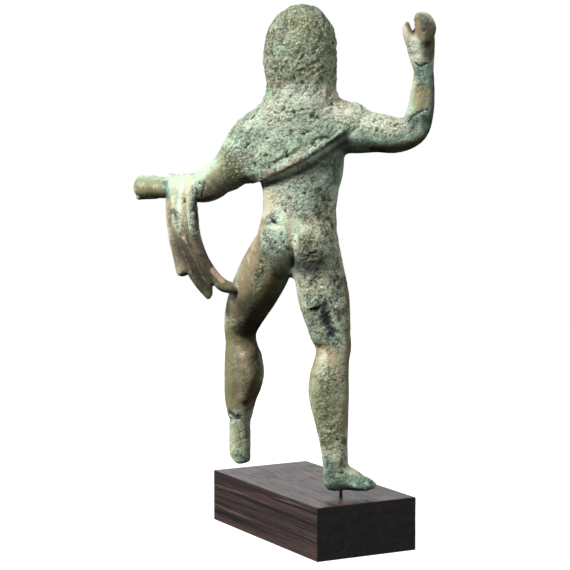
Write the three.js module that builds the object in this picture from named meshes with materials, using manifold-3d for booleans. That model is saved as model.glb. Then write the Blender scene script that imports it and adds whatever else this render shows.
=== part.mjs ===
// An Etruscan votive bronze: a striding hero with a lion's skin over his head, back and left arm.
// He is cast in one piece, has lost his left foot and the club in his raised right hand,
// and stands on a steel pin let into a dark wooden block.
//
// Millimetres, +Z up. The origin is the centre of the block's underside, and the block's
// long sides run along Y. The figure is modelled in shares of its own height, facing +Y with
// his right hand at +X, the pin's axis as its own Z axis and the sole of his right foot at
// zero; a turned group then stands him on the block.
import * as THREE from 'three';
import { mergeVertices } from 'three/addons/utils/BufferGeometryUtils.js';
import Module from 'manifold-3d';

const wasm = await Module();
wasm.setup();

// Driving sizes, in millimetres.
const figureHeight = 180; // sole of the right foot to the top of the lion's scalp
const blockLength = 84; // along Y
const blockWidth = 42; // along X
const blockHeight = 20;
const blockEdge = 0.3; // broken edge all round
const pinDiameter = 1.2;
const pinInBlock = 9; // how far the pin goes down into the block
const pinInFoot = 6; // how far it goes up into the foot
const pinClearance = 0.3; // all round the pin, and at both its ends
const soleGap = 2.4; // daylight between the block and the sole
const pinX = 2.8; // where the pin stands on the block
const pinY = 27.5;
const figureTurn = 151.5; // degrees, from the figure's own axes to the block's
const skinThickness = 1.9; // the lion's skin where it lies on the back

// How finely the bronze is modelled.
const fieldStep = 0.6; // spacing of the sampled field, in shares
const bronzeTriangles = 9400;

// One share is a hundredth of the figure's height. Every length from here to the end of the
// modelling is in shares, and share turns it into millimetres.
const share = figureHeight / 100;
const skin = skinThickness / share;
const centreX = -8.4; // the plane that halves the head and the trunk

const far = 50; // a distance that no shape of the figure reaches
const reach = 2.6; // how far past a shape's own box its field is worked out
const curveSteps = 4; // straight pieces between two stations of a limb

const clamp = THREE.MathUtils.clamp;
const lerp = THREE.MathUtils.lerp;
const smoothstep = THREE.MathUtils.smoothstep;

// The smaller of two distances, with the join between them rounded over a width of blend.
function smoothMin(a, b, blend) {
  const h = Math.max(blend - Math.abs(a - b), 0);
  return Math.min(a, b) - (h * h) / (4 * blend);
}

// Distance from the middle of an ellipsoid, true near its surface.
function ellipsoidDistance(x, y, z, rx, ry, rz) {
  const scaled = Math.hypot(x / rx, y / ry, z / rz);
  const slope = Math.hypot(x / (rx * rx), y / (ry * ry), z / (rz * rz));
  return slope < 1e-6 ? -Math.min(rx, ry, rz) : (scaled * (scaled - 1)) / slope;
}

// A limb: a round-ended tube of oval section along a smooth curve. Each station is
// [x, y, z, half width, half depth], and the depth is measured towards facing.
function limb(stations, facing = [0, 1, 0]) {
  const places = stations.map(([x, y, z]) => new THREE.Vector3(x, y, z));
  const halves = stations.map(([, , , width, depth = width]) => new THREE.Vector3(width, depth, 0));
  const centres = new THREE.CatmullRomCurve3(places);
  const sizes = new THREE.CatmullRomCurve3(halves, false, 'catmullrom');
  const front = new THREE.Vector3(...facing).normalize();
  const box = new THREE.Box3();
  const pieces = [];
  const count = (stations.length - 1) * curveSteps;
  for (let i = 0; i < count; i++) {
    const a = centres.getPoint(i / count);
    const b = centres.getPoint((i + 1) / count);
    const ra = sizes.getPoint(i / count);
    const rb = sizes.getPoint((i + 1) / count);
    const along = b.clone().sub(a);
    const tangent = along.clone().normalize();
    const across = front.clone().cross(tangent).normalize();
    const deep = tangent.clone().cross(across);
    const widest = Math.max(ra.x, ra.y, rb.x, rb.y);
    box.union(new THREE.Box3().setFromPoints([a, b]).expandByScalar(widest));
    pieces.push({ a, along, tangent, across, deep, ra, rb, lengthSq: along.lengthSq() });
  }
  const distance = (x, y, z) => {
    let nearest = far;
    for (const { a, along, tangent, across, deep, ra, rb, lengthSq } of pieces) {
      let dx = x - a.x;
      let dy = y - a.y;
      let dz = z - a.z;
      const t = clamp((dx * along.x + dy * along.y + dz * along.z) / lengthSq, 0, 1);
      dx -= along.x * t;
      dy -= along.y * t;
      dz -= along.z * t;
      const halfWidth = lerp(ra.x, rb.x, t);
      const halfDepth = lerp(ra.y, rb.y, t);
      const d = ellipsoidDistance(
        dx * across.x + dy * across.y + dz * across.z,
        dx * deep.x + dy * deep.y + dz * deep.z,
        dx * tangent.x + dy * tangent.y + dz * tangent.z,
        halfWidth, halfDepth, Math.min(halfWidth, halfDepth),
      );
      if (d < nearest) nearest = d;
    }
    return nearest;
  };
  return { box, distance };
}

// A ball or ellipsoid. turn is its rotation in degrees about X, Y and Z.
function ball(centre, radii, turn = [0, 0, 0]) {
  const [rx, ry = rx, rz = rx] = [radii].flat();
  const middle = new THREE.Vector3(...centre);
  const degrees = turn.map(THREE.MathUtils.degToRad);
  const inverse = new THREE.Matrix4().makeRotationFromEuler(new THREE.Euler(...degrees)).invert();
  const e = inverse.elements;
  const box = new THREE.Box3().setFromPoints([middle]).expandByScalar(Math.max(rx, ry, rz));
  const distance = (x, y, z) => {
    const dx = x - middle.x;
    const dy = y - middle.y;
    const dz = z - middle.z;
    return ellipsoidDistance(
      e[0] * dx + e[4] * dy + e[8] * dz,
      e[1] * dx + e[5] * dy + e[9] * dz,
      e[2] * dx + e[6] * dy + e[10] * dz,
      rx, ry, rz,
    );
  };
  return { box, distance };
}

// Everything past a plane, near a point on it: it cuts a sole flat, or a broken end.
function past(point, direction, radius) {
  const [x0, y0, z0] = point;
  const away = new THREE.Vector3(...direction).normalize();
  const box = new THREE.Box3().setFromPoints([new THREE.Vector3(...point)]).expandByScalar(radius);
  const distance = (x, y, z) => (x0 - x) * away.x + (y0 - y) * away.y + (z0 - z) * away.z;
  return { box, distance };
}

// The wax that the figure is built up in: distances to its surface, below zero inside. They are
// sampled on a grid, and at gives the distance at any other place.
class Wax {
  constructor(low, high, step) {
    this.low = low;
    this.step = step;
    this.size = high.map((h, i) => Math.ceil((h - low[i]) / step) + 1);
    this.distance = new Float32Array(this.size[0] * this.size[1] * this.size[2]).fill(far);
    this.changes = [];
  }

  // Replaces each distance d near the box by change(d, x, y, z).
  rework(box, change) {
    const room = box.clone().expandByScalar(reach);
    this.changes.push({ room, change });
    const cellOf = (corner) => corner.toArray().map((c, i) => (c - this.low[i]) / this.step);
    const [firstX, firstY, firstZ] = cellOf(room.min).map((n) => Math.max(0, Math.ceil(n)));
    const [lastX, lastY, lastZ] = cellOf(room.max).map((n, i) => Math.min(this.size[i] - 1, Math.floor(n)));
    for (let k = firstZ; k <= lastZ; k++) {
      const z = this.low[2] + k * this.step;
      for (let j = firstY; j <= lastY; j++) {
        const y = this.low[1] + j * this.step;
        const row = (k * this.size[1] + j) * this.size[0];
        for (let i = firstX; i <= lastX; i++) {
          this.distance[row + i] = change(this.distance[row + i], this.low[0] + i * this.step, y, z);
        }
      }
    }
  }

  at(point) {
    let d = far;
    for (const { room, change } of this.changes) {
      if (room.containsPoint(point)) d = change(d, point.x, point.y, point.z);
    }
    return d;
  }

  add(shape, blend = 0.8) {
    this.rework(shape.box, (d, x, y, z) => smoothMin(d, shape.distance(x, y, z), blend));
  }

  cut(shape, blend = 0.3) {
    this.rework(shape.box, (d, x, y, z) => -smoothMin(-d, shape.distance(x, y, z), blend));
  }
}

// The same shapes on both sides of the body, mirrored in its middle plane.
const mirrored = ([x, ...rest]) => [2 * centreX - x, ...rest];
const bothSides = (make) => [make((p) => p), make(mirrored)];

// The trunk, from the crotch to the neck, with the chest and belly that the skin leaves bare.
function modelTrunk(wax) {
  wax.add(limb([
    [-9.4, 11.4, 47.5, 6.6, 4.4],
    [-9.1, 11.2, 51.5, 7.5, 4.9],
    [-8.7, 11.3, 55.5, 7.6, 4.5],
    [-8.4, 11.7, 60.5, 7.8, 4.3],
    [-8.1, 12.2, 66.0, 8.1, 5.0],
    [-8.5, 12.6, 71.5, 9.2, 5.3],
    [-8.7, 12.8, 75.2, 7.6, 4.6],
    [-8.5, 13.2, 79.0, 4.6, 3.6],
  ]), 1);
  wax.add(limb([[-8.5, 13.2, 78, 3.8], [-8.4, 14.2, 86, 3.5]]), 2);
  bothSides((at) => {
    wax.add(ball(at([-4.4, 16.2, 72.2]), [4.7, 2.5, 3.3]), 1.2);
    wax.add(ball(at([-1.8, 12.4, 67.0]), [2.4, 3.6, 5.0]), 1.6);
    wax.add(ball(at([-3.3, 12.0, 54.6]), [2.2, 3.4, 2.4]), 1.8);
    for (const [height, half] of [[66.6, 1.7], [63.2, 1.6], [59.9, 1.6]]) {
      wax.add(ball(at([-6.7, 15.6, height]), [1.8, 1.5, half]), 0.8);
    }
    wax.add(limb([at([-3.2, 15.3, 52.6, 0.8]), at([-6.6, 15.0, 48.2, 1.0])]), 1.2);
  });
  wax.add(ball([centreX, 15.0, 54.6], [4.6, 2.2, 4.4]), 1.4);
  wax.cut(ball([centreX, 17.4, 56.9], [0.5, 0.8, 0.5]), 0.3);
  wax.add(ball([centreX - 0.5, 15.6, 47.2], [1.5, 1.3, 1.7]), 0.7);
}

// The buttocks and the furrow between them. The left one is drawn up by the bent leg.
function modelSeat(wax) {
  wax.add(ball([-5.6, 7.3, 50.3], [4.3, 4.5, 5.0]), 0.9);
  wax.add(ball([-12.6, 8.8, 51.6], [4.2, 3.7, 5.4], [0, -12, 0]), 2.2);
  wax.cut(limb([
    [-9.9, 5.4, 57.5, 0.4, 0.7],
    [-10.2, 4.2, 53.5, 0.45, 1.4],
    [-10.1, 4.0, 49.6, 0.45, 2.0],
    [-9.8, 6.0, 45.4, 0.45, 2.2],
  ]), 1.0);
  wax.cut(limb([
    [-8.8, 3.6, 45.4, 0.9, 0.5],
    [-5.6, 2.6, 44.6, 1.2, 0.5],
    [-2.0, 4.4, 45.4, 0.9, 0.4],
  ], [0, 0, 1]), 1.1);
}

// The right leg: straight, a little behind him, and turned out so that the knee faces his right.
function modelRightLeg(wax) {
  const facing = [1, -0.1, 0];
  wax.add(limb([
    [-4.9, 9.8, 50.5, 4.2, 4.6],
    [-4.5, 8.8, 45.2, 4.7, 5.2],
    [-3.5, 7.4, 39.4, 4.7, 5.3],
    [-2.4, 5.8, 33.6, 4.0, 4.5],
    [-1.6, 4.6, 28.9, 3.2, 3.5],
    [-2.2, 3.7, 24.2, 3.4, 3.9],
    [-2.5, 2.9, 19.8, 3.4, 4.2],
    [-1.9, 1.8, 14.2, 2.7, 3.5],
    [-1.4, 0.8, 9.2, 2.1, 2.85],
    [-1.1, 0.2, 4.6, 2.1, 2.6],
  ], facing), 1.6);
  wax.add(ball([0.5, 4.4, 29.6], [1.3, 1.6, 2.2]), 1.4);
  wax.add(limb([
    [-4.2, 1.6, 24.6, 1.1, 1.0],
    [-4.2, 0.5, 20.0, 1.5, 1.3],
    [-3.4, 0.2, 16.2, 1.0, 0.8],
  ]), 1.2);
  wax.add(limb([
    [-4.8, 4.4, 24.0, 1.1, 1.0],
    [-4.8, 4.0, 20.0, 1.3, 1.3],
    [-3.8, 2.8, 15.6, 0.8, 0.8],
  ]), 1.2);
  wax.add(limb([[-5.4, 3.2, 38.0, 1.5, 1.2], [-4.4, 2.6, 31.0, 0.9, 0.8]]), 1.4);
  wax.add(ball([-0.9, -1.5, 6.4], [0.9, 0.8, 1.1]), 1.0);
  wax.add(ball([-0.9, 2.0, 6.9], [0.9, 0.8, 1.1]), 1.0);
}

// The right foot: short and flat-soled, pointing to his right.
function modelRightFoot(wax) {
  const up = [0, 0, 1];
  wax.add(ball([-1.5, 0.2, 2.2], [2.1, 2.1, 2.4]), 1.0);
  wax.add(limb([
    [-1.0, 0.2, 2.8, 2.2, 2.8],
    [1.6, 0.0, 2.4, 2.2, 2.4],
    [3.9, -0.1, 1.6, 2.4, 1.7],
    [5.2, -0.1, 1.3, 2.3, 1.4],
  ], up), 1.0);
  const toes = 5;
  for (let i = 0; i < toes; i++) {
    const across = i / (toes - 1); // 0 is the big toe, on the side away from his back
    const y = lerp(1.5, -2.0, across);
    const tip = lerp(6.3, 4.9, across * across);
    const thick = lerp(1.05, 0.55, Math.sqrt(across));
    wax.add(limb([[tip - 2.0, y, 1.3, thick], [tip, y, 0.9, thick]], up), 0.25);
  }
  wax.cut(past([2, 0, 0], [0, 0, -1], 7), 0.05);
}

// The left leg: forward and bent, with the calf towards his right, and broken off at the foot.
function modelLeftLeg(wax) {
  const facing = [-0.75, 0.66, 0];
  wax.add(limb([
    [-13.0, 12.6, 51.0, 4.2, 4.6],
    [-15.4, 15.0, 45.2, 5.1, 5.4],
    [-17.8, 17.2, 40.2, 4.9, 5.3],
    [-19.9, 19.6, 35.6, 4.2, 4.6],
    [-21.2, 21.7, 31.2, 3.4, 3.7],
    [-21.1, 22.0, 28.2, 3.2, 3.5],
    [-20.7, 21.7, 24.6, 3.6, 4.2],
    [-20.5, 21.4, 20.8, 3.8, 4.6],
    [-21.2, 21.6, 16.6, 3.15, 3.8],
    [-21.4, 21.8, 12.6, 2.5, 2.9],
  ], facing), 1.6);
  wax.add(ball([-22.9, 23.8, 31.0], [1.6, 1.5, 1.9]), 1.0);
  wax.add(limb([
    [-19.6, 18.9, 25.2, 1.2, 1.0],
    [-19.4, 18.0, 21.0, 1.6, 1.2],
    [-20.2, 18.6, 16.6, 0.9, 0.8],
  ]), 1.2);
  wax.add(limb([
    [-17.9, 21.6, 25.2, 1.0, 1.0],
    [-18.1, 21.4, 21.4, 1.4, 1.3],
    [-19.5, 21.0, 17.4, 0.8, 0.8],
  ]), 1.2);
  // The stump: narrower below a step, with a crack at the step, and broken off flat with its
  // outer corner gone.
  wax.add(limb([[-21.4, 21.8, 13.0, 2.3, 2.3], [-21.4, 21.8, 2.4, 2.3, 2.3]], facing), 0.3);
  wax.cut(past([-21.4, 21.8, 1.7], [0.1, 0, -1], 4), 0.7);
  wax.cut(past([-23.3, 21.8, 2.9], [-1, 0, -0.9], 4), 0.8);
  wax.cut(ball([-24.4, 20.4, 11.6], [1.6, 2.4, 0.6], [0, 18, 0]), 0.3);
}

// The right arm: out from the shoulder, and up from the elbow to an empty grip.
function modelRightArm(wax) {
  wax.add(limb([
    [-3.4, 12.6, 74.4, 4.3],
    [2.4, 11.6, 74.1, 4.85],
    [7.4, 10.3, 73.5, 4.0],
    [11.8, 9.1, 73.1, 3.6],
    [15.1, 8.6, 74.4, 3.15],
    [16.5, 8.7, 78.0, 2.8],
    [17.0, 9.1, 81.8, 2.5],
    [17.2, 9.5, 86.6, 2.05, 2.1],
    [16.9, 9.7, 89.4, 2.3, 2.2],
  ], [0, 0, 1]), 1.6);
  wax.add(ball([8.4, 10.6, 75.1], [3.8, 2.2, 1.9]), 1.4);
}

// The right hand, half open round the club that it has lost: the shaft ran from front to back.
function modelRightHand(wax) {
  wax.add(limb([
    [16.9, 9.8, 88.6, 2.1, 2.1],
    [16.6, 9.9, 91.6, 2.9, 2.6],
    [17.2, 9.9, 94.2, 2.2, 2.6],
  ]), 1.0);
  const fingers = 4;
  for (let i = 0; i < fingers; i++) {
    const y = lerp(7.6, 12.4, i / (fingers - 1));
    const short = 0.25 * Math.abs(i - 1);
    wax.add(limb([
      [17.9, y, 93.2, 1.1],
      [18.4, y, 95.6 - short, 1.2],
      [17.4, y, 97.3 - short, 1.15],
      [16.0, y, 97.7 - short, 0.75],
      [16.2, y, 96.2 - short, 0.75],
      [16.4, y, 95.0 - short, 0.6],
    ]), 0.35);
  }
  wax.add(ball([17.3, 7.9, 94.6], [1.6, 1.5, 3.0]), 0.8);
  wax.add(limb([
    [15.4, 8.6, 91.2, 1.5],
    [14.1, 8.2, 93.4, 1.2],
    [13.6, 8.4, 95.0, 0.9],
    [13.7, 8.6, 96.1, 0.45],
  ]), 0.6);
  wax.cut(limb([[14.9, 5, 96.4, 0.5], [14.9, 15, 96.4, 0.5]], [0, 0, 1]), 0.4);
}

// The left arm: down to the elbow and forward again, with the hand closed.
function modelLeftArm(wax) {
  wax.add(limb([
    [-14.2, 13.2, 75.2, 3.8],
    [-18.8, 13.4, 72.1, 3.6],
    [-22.7, 13.0, 66.6, 2.9],
    [-26.2, 12.9, 62.9, 3.1],
    [-29.6, 15.4, 61.2, 2.6],
    [-33.2, 19.2, 61.2, 2.0],
    [-37.6, 23.6, 61.5, 2.1],
  ], [0, 0, 1]), 1.2);
  wax.add(limb([
    [-37.6, 23.6, 61.4, 2.1, 2.1],
    [-40.2, 25.8, 61.4, 2.6, 2.5],
    [-42.3, 27.5, 61.3, 2.3, 2.4],
  ], [0, 0, 1]), 0.8);
  const fingers = 4;
  for (let i = 0; i < fingers; i++) {
    const z = lerp(62.9, 59.4, i / (fingers - 1));
    wax.add(limb([
      [-43.2, 27.4, z, 0.85],
      [-42.6, 29.0, z, 0.85],
      [-40.8, 29.6, z, 0.8],
      [-39.6, 28.6, z, 0.7],
    ]), 0.25);
  }
  wax.add(limb([[-39.6, 26.0, 62.8, 0.9], [-40.4, 28.4, 63.1, 0.8], [-41.4, 29.6, 62.4, 0.65]]), 0.4);
}

// The lower edge of the skin on his back, a line that falls from his right shoulder to his left
// hip. At the shoulder it turns up into the skin's end, which lies down softly on the arm.
const hemHeight = (x) => 69.6 + 0.6 * (x + 4.7) + 0.0081 * (x + 4.7) ** 2;
const hemSlope = 0.86; // turns a height over the hem into a distance from it
const fromEnd = (x, z) => 0.6 * z - 0.8 * x - 42.9; // how far a place is inside the skin's end
const roll = { above: 0.7, width: 0.6, height: 0.5 }; // the rolled border along the hem
const groove = { above: 2.3, width: 0.4, depth: 0.35 }; // and the line behind it
const wristEnd = -36.6; // where the skin ends on the left forearm
const bell = (offset, width) => Math.exp(-((offset / width) ** 2));
const noBlend = 1e-6; // as good as a sharp join

// The lion's skin on his back, shoulders and left arm: the body's own surface, raised, down to
// the hem.
function modelSkin(wax) {
  const reachOfSkin = new THREE.Box3(new THREE.Vector3(-40, 2, 54), new THREE.Vector3(8, 30, 84));
  wax.add(limb([[-15.0, 11.0, 67.5, 2.6], [-18.6, 11.8, 66.4, 2.2], [-22.0, 12.4, 66.0, 1.8]]), 1.6);
  wax.add(limb([
    [-8.3, 11.8, 87.0, 7.35, 5.8],
    [-8.2, 11.6, 82.5, 7.25, 5.2],
    [-8.4, 11.6, 78.0, 7.5, 4.4],
  ]), 1.6);
  wax.add(ball([-1.2, 12.2, 78.0], [2.2, 2.8, 1.7]), 1.4);
  wax.rework(reachOfSkin, (d, x, y, z) => {
    const fade = 1 - smoothstep(z, 78, 84); // the hood above is skin all through
    const overArm = smoothstep(-x, 17, 21); // 0 on the trunk, 1 where the skin wraps the left arm
    const front = y - lerp(13.2 + 0.7 * Math.max(z - 75, 0), 40, overArm);
    const overHem = (z - hemHeight(x)) * hemSlope;
    const rolled = smoothstep(-x, -4, 2) * (1 - smoothstep(-x, 12, 18)); // fades at both ends
    const raised = bell(overHem - roll.above, roll.width) * roll.height;
    const lowered = bell(overHem - groove.above, groove.width) * groove.depth * smoothstep(-x, 5, 10);
    const lying = smoothstep(fromEnd(x, z), -1, 2.4);
    const thickness = (skin + (raised - lowered) * rolled) * fade * lying;
    const edge = Math.max(-overHem, front, wristEnd - x);
    return smoothMin(d, Math.max(d - thickness, edge), 0.25 * fade * lying + noBlend);
  });
}

// The folds that hang from his forearm: one tail to the left, a long pointed one in the
// middle, and one that curls in to touch his thigh.
function modelHangingFolds(wax) {
  wax.add(limb([
    [-33.6, 18.4, 63.0, 3.6, 1.0],
    [-33.4, 16.8, 57.0, 3.3, 0.9],
    [-33.0, 16.2, 50.0, 3.0, 0.8],
    [-31.4, 15.9, 44.5, 2.6, 0.7],
  ], [0.66, 0.75, 0]), 0.8);
  wax.add(limb([
    [-35.4, 21.0, 63.2, 1.0],
    [-36.1, 18.8, 58.5, 1.0],
    [-35.6, 18.0, 52.0, 1.0],
    [-34.3, 17.4, 46.8, 1.1],
    [-33.5, 17.2, 44.2, 1.4],
  ]), 0.6);
  wax.add(ball([-32.4, 17.0, 44.7], [1.3, 0.9, 1.4]), 0.5);
  wax.add(limb([
    [-34.4, 19.6, 63.5, 1.0],
    [-34.7, 17.2, 58.0, 1.0],
    [-34.0, 16.4, 51.5, 1.0],
    [-32.0, 15.8, 45.0, 1.0],
    [-29.6, 15.4, 41.0, 0.9],
    [-27.9, 15.2, 38.7, 0.6],
  ]), 0.6);
  wax.add(limb([
    [-33.0, 18.2, 63.7, 1.0],
    [-33.1, 15.7, 57.6, 1.0],
    [-32.4, 14.9, 51.0, 1.0],
    [-30.3, 14.6, 45.6, 1.0],
    [-28.1, 14.9, 41.6, 1.0],
    [-27.6, 15.1, 39.4, 0.65],
  ]), 0.6);
  wax.add(limb([
    [-31.6, 15.4, 64.0, 1.0],
    [-31.3, 12.6, 60.6, 1.2],
    [-31.1, 12.7, 57.0, 1.2],
    [-30.5, 13.2, 52.0, 1.15],
    [-28.9, 13.5, 47.0, 1.15],
    [-26.3, 14.2, 42.8, 1.2],
    [-24.7, 14.5, 41.2, 1.35],
    [-23.0, 14.7, 40.6, 1.2],
  ]), 0.6);
}

// The lion's scalp as a hood, with the beast's muzzle over his brow, its ears, and its mane
// in locks round his face and on his shoulders.
function modelHood(wax) {
  wax.add(ball([centreX, 13.4, 90.2], [7.55, 7.4, 9.4]), 1.6);
  wax.add(ball([centreX + 0.6, 13.6, 92.7], [6.5, 7.0, 7.45]), 1.6);
  wax.cut(ball([centreX, 23.4, 87.6], [4.9, 7.0, 7.0]), 0.8);
  wax.add(limb([
    [centreX, 16.4, 97.2, 3.8, 2.8],
    [centreX, 20.6, 95.8, 3.0, 2.1],
    [centreX, 22.2, 95.2, 2.2, 1.5],
  ], [0, 0, 1]), 1.0);
  const locks = 7;
  bothSides((at) => {
    wax.add(ball(at([-4.4, 17.2, 97.0]), [1.3, 0.9, 1.5]), 0.5);
    wax.cut(ball(at([-7.3, 24.0, 95.4]), 0.45), 0.2);
    for (let i = 0; i < locks; i++) {
      const angle = THREE.MathUtils.degToRad(lerp(52, -52, i / (locks - 1)));
      const rim = [centreX + 5.4 * Math.cos(angle), 17.2, 88.4 + 7.2 * Math.sin(angle)];
      const tip = [centreX + 6.6 * Math.cos(angle), 14.8, 88.0 + 8.6 * Math.sin(angle - 0.14)];
      wax.add(limb([at([...rim, 1.15]), at([...tip, 0.7])]), 0.3);
    }
  });
}

// A calm, beardless face on plain proportions.
function modelFace(wax) {
  wax.add(ball([centreX, 16.4, 88.6], [4.1, 4.6, 5.7]), 0.5);
  wax.add(ball([centreX, 18.7, 84.4], [2.5, 2.1, 1.8]), 1.4);
  wax.add(limb([
    [centreX, 20.5, 90.7, 0.75],
    [centreX, 21.5, 88.9, 0.75],
    [centreX, 22.0, 87.7, 0.9],
  ]), 0.5);
  bothSides((at) => {
    wax.add(ball(at([-5.9, 18.8, 87.0]), [1.7, 1.6, 1.9]), 1.0);
    wax.cut(ball(at([-6.6, 21.4, 89.5]), [1.15, 1.0, 0.8]), 0.5);
    wax.add(ball(at([-6.6, 19.9, 89.4]), [0.95, 0.9, 0.7]), 0.2);
    wax.add(limb([
      at([-5.0, 19.9, 90.6, 0.5]),
      at([-6.8, 20.8, 91.0, 0.55]),
      at([-8.2, 20.7, 90.6, 0.5]),
    ]), 0.4);
    wax.add(limb([at([-7.1, 20.4, 85.9, 0.4]), at([-8.4, 20.9, 86.1, 0.5])]), 0.3);
    wax.add(limb([at([-7.3, 20.3, 85.1, 0.4]), at([-8.4, 20.8, 84.9, 0.55])]), 0.3);
  });
}

// The two forepaws, brought over the shoulders and knotted on his chest.
function modelKnottedPaws(wax) {
  bothSides((at) => {
    wax.add(limb([
      at([-1.6, 14.8, 79.2, 1.9, 1.1]),
      at([-4.0, 17.8, 76.6, 1.6, 1.0]),
      at([-7.4, 19.2, 73.4, 1.2, 0.9]),
    ]), 0.5);
    wax.add(limb([
      at([-8.0, 19.5, 72.6, 0.9]),
      at([-6.6, 19.2, 69.8, 1.0]),
      at([-6.3, 18.9, 68.4, 1.1]),
    ]), 0.35);
  });
  wax.add(ball([centreX, 19.8, 73.0], [1.7, 1.2, 1.3]), 0.4);
}

// The flaw in the back of the right thigh, where the metal didn't run.
function modelFlaw(wax) {
  wax.cut(ball([-3.0, 1.3, 35.4], [1.5, 0.8, 3.6]), 0.9);
  wax.cut(limb([[-2.5, 2.0, 36.6, 0.7], [-1.9, 1.8, 34.9, 0.8], [-1.9, 1.7, 33.4, 0.5]]), 0.3);
  wax.cut(limb([
    [-6.0, 2.4, 37.4, 0.2],
    [-4.6, 1.8, 37.5, 0.45],
    [-3.4, 1.6, 37.6, 0.7],
    [-3.2, 1.5, 39.2, 0.3],
  ]), 0.3);
}

// Where the surface crosses the edge of a tetrahedron, found by false position. A guess stays
// off the ends of its stretch, and the place found stays off the ends of the edge.
function surfacePoint(wax, from, to, valueFrom, valueTo) {
  const rounds = 3;
  let [low, high] = [0, 1];
  let [atLow, atHigh] = [valueFrom, valueTo];
  const guess = () => lerp(low, high, clamp(atLow / (atLow - atHigh), 0.1, 0.9));
  for (let round = 0; round < rounds; round++) {
    const t = guess();
    const d = wax.at(from.clone().lerp(to, t));
    if (d < 0 === atLow < 0) [low, atLow] = [t, d];
    else [high, atHigh] = [t, d];
  }
  return from.clone().lerp(to, clamp(guess(), 0.02, 0.98));
}

// Turns the wax into a closed mesh. Each cube of the grid is six tetrahedra round its long
// diagonal, and a tetrahedron that the surface passes through gives one or two triangles.
function polygonise(wax) {
  const [nx, ny, nz] = wax.size;
  const strides = [1, nx, nx * ny];
  const points = [];
  const triangles = [];
  const known = new Map();
  const justOutside = 1e-6; // stands for a corner that lies on the surface itself
  const value = (n) => wax.distance[n] || justOutside;
  const place = (n) => {
    const cell = [n % nx, Math.floor(n / nx) % ny, Math.floor(n / strides[2])];
    return new THREE.Vector3(...cell.map((c, i) => wax.low[i] + c * wax.step));
  };
  const crossing = (p, q) => {
    const [a, b] = p < q ? [p, q] : [q, p];
    const key = a * wax.distance.length + b;
    if (!known.has(key)) {
      points.push(surfacePoint(wax, place(a), place(b), value(a), value(b)));
      known.set(key, points.length - 1);
    }
    return known.get(key);
  };
  // One triangle, turned so that it faces from the inner corner towards the outer one.
  const face = (a, b, c, inner, outer) => {
    const normal = points[b].clone().sub(points[a]).cross(points[c].clone().sub(points[a]));
    const outward = normal.dot(place(outer).sub(place(inner))) > 0;
    triangles.push(outward ? [a, b, c] : [a, c, b]);
  };
  const orders = [[0, 1, 2], [1, 2, 0], [2, 0, 1], [0, 2, 1], [2, 1, 0], [1, 0, 2]];
  const cube = (base) => {
    for (const order of orders) {
      const corners = [base];
      for (const axis of order) corners.push(corners.at(-1) + strides[axis]);
      const inner = corners.filter((n) => value(n) < 0);
      const outer = corners.filter((n) => value(n) > 0);
      if (inner.length === 2) {
        const [p, q] = inner;
        const [r, s] = outer;
        const ring = [crossing(p, r), crossing(p, s), crossing(q, s), crossing(q, r)];
        face(ring[0], ring[1], ring[2], p, s);
        face(ring[0], ring[2], ring[3], q, r);
      } else if (inner.length === 1) {
        face(...outer.map((n) => crossing(inner[0], n)), inner[0], outer[0]);
      } else if (outer.length === 1) {
        face(...inner.map((n) => crossing(n, outer[0])), inner[0], outer[0]);
      }
    }
  };
  const [dx, dy, dz] = strides;
  const offsets = [dx, dy, dz, dx + dy, dy + dz, dx + dz, dx + dy + dz];
  for (let k = 0; k < nz - 1; k++) {
    for (let j = 0; j < ny - 1; j++) {
      for (let i = 0; i < nx - 1; i++) {
        const base = i + j * nx + k * strides[2];
        const within = value(base) < 0;
        if (offsets.some((offset) => value(base + offset) < 0 !== within)) cube(base);
      }
    }
  }
  return { points, triangles };
}

// Keeps the outer skin of the mesh, without any small bubble left inside it.
function outerSkin({ points, triangles }) {
  const leader = points.map((_, i) => i);
  const find = (i) => {
    while (leader[i] !== i) i = leader[i] = leader[leader[i]];
    return i;
  };
  for (const [a, b, c] of triangles) {
    leader[find(a)] = find(b);
    leader[find(b)] = find(c);
  }
  const counts = new Map();
  for (const [a] of triangles) counts.set(find(a), (counts.get(find(a)) ?? 0) + 1);
  const [largest] = [...counts].sort((p, q) => q[1] - p[1])[0];
  return { points, triangles: triangles.filter(([a]) => find(a) === largest) };
}

// A queue that gives back the cheapest of its entries first.
class CheapestFirst {
  entries = [];

  push(entry) {
    let i = this.entries.push(entry) - 1;
    while (i > 0) {
      const parent = (i - 1) >> 1;
      if (this.entries[parent].cost <= entry.cost) break;
      this.entries[i] = this.entries[parent];
      i = parent;
    }
    this.entries[i] = entry;
  }

  pop() {
    const [first] = this.entries;
    const last = this.entries.pop();
    if (this.entries.length === 0) return first;
    let i = 0;
    for (let child = 1; child < this.entries.length; child = 2 * i + 1) {
      const other = this.entries[child + 1];
      if (other && other.cost < this.entries[child].cost) child += 1;
      if (this.entries[child].cost >= last.cost) break;
      this.entries[i] = this.entries[child];
      i = child;
    }
    this.entries[i] = last;
    return first;
  }
}

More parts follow.
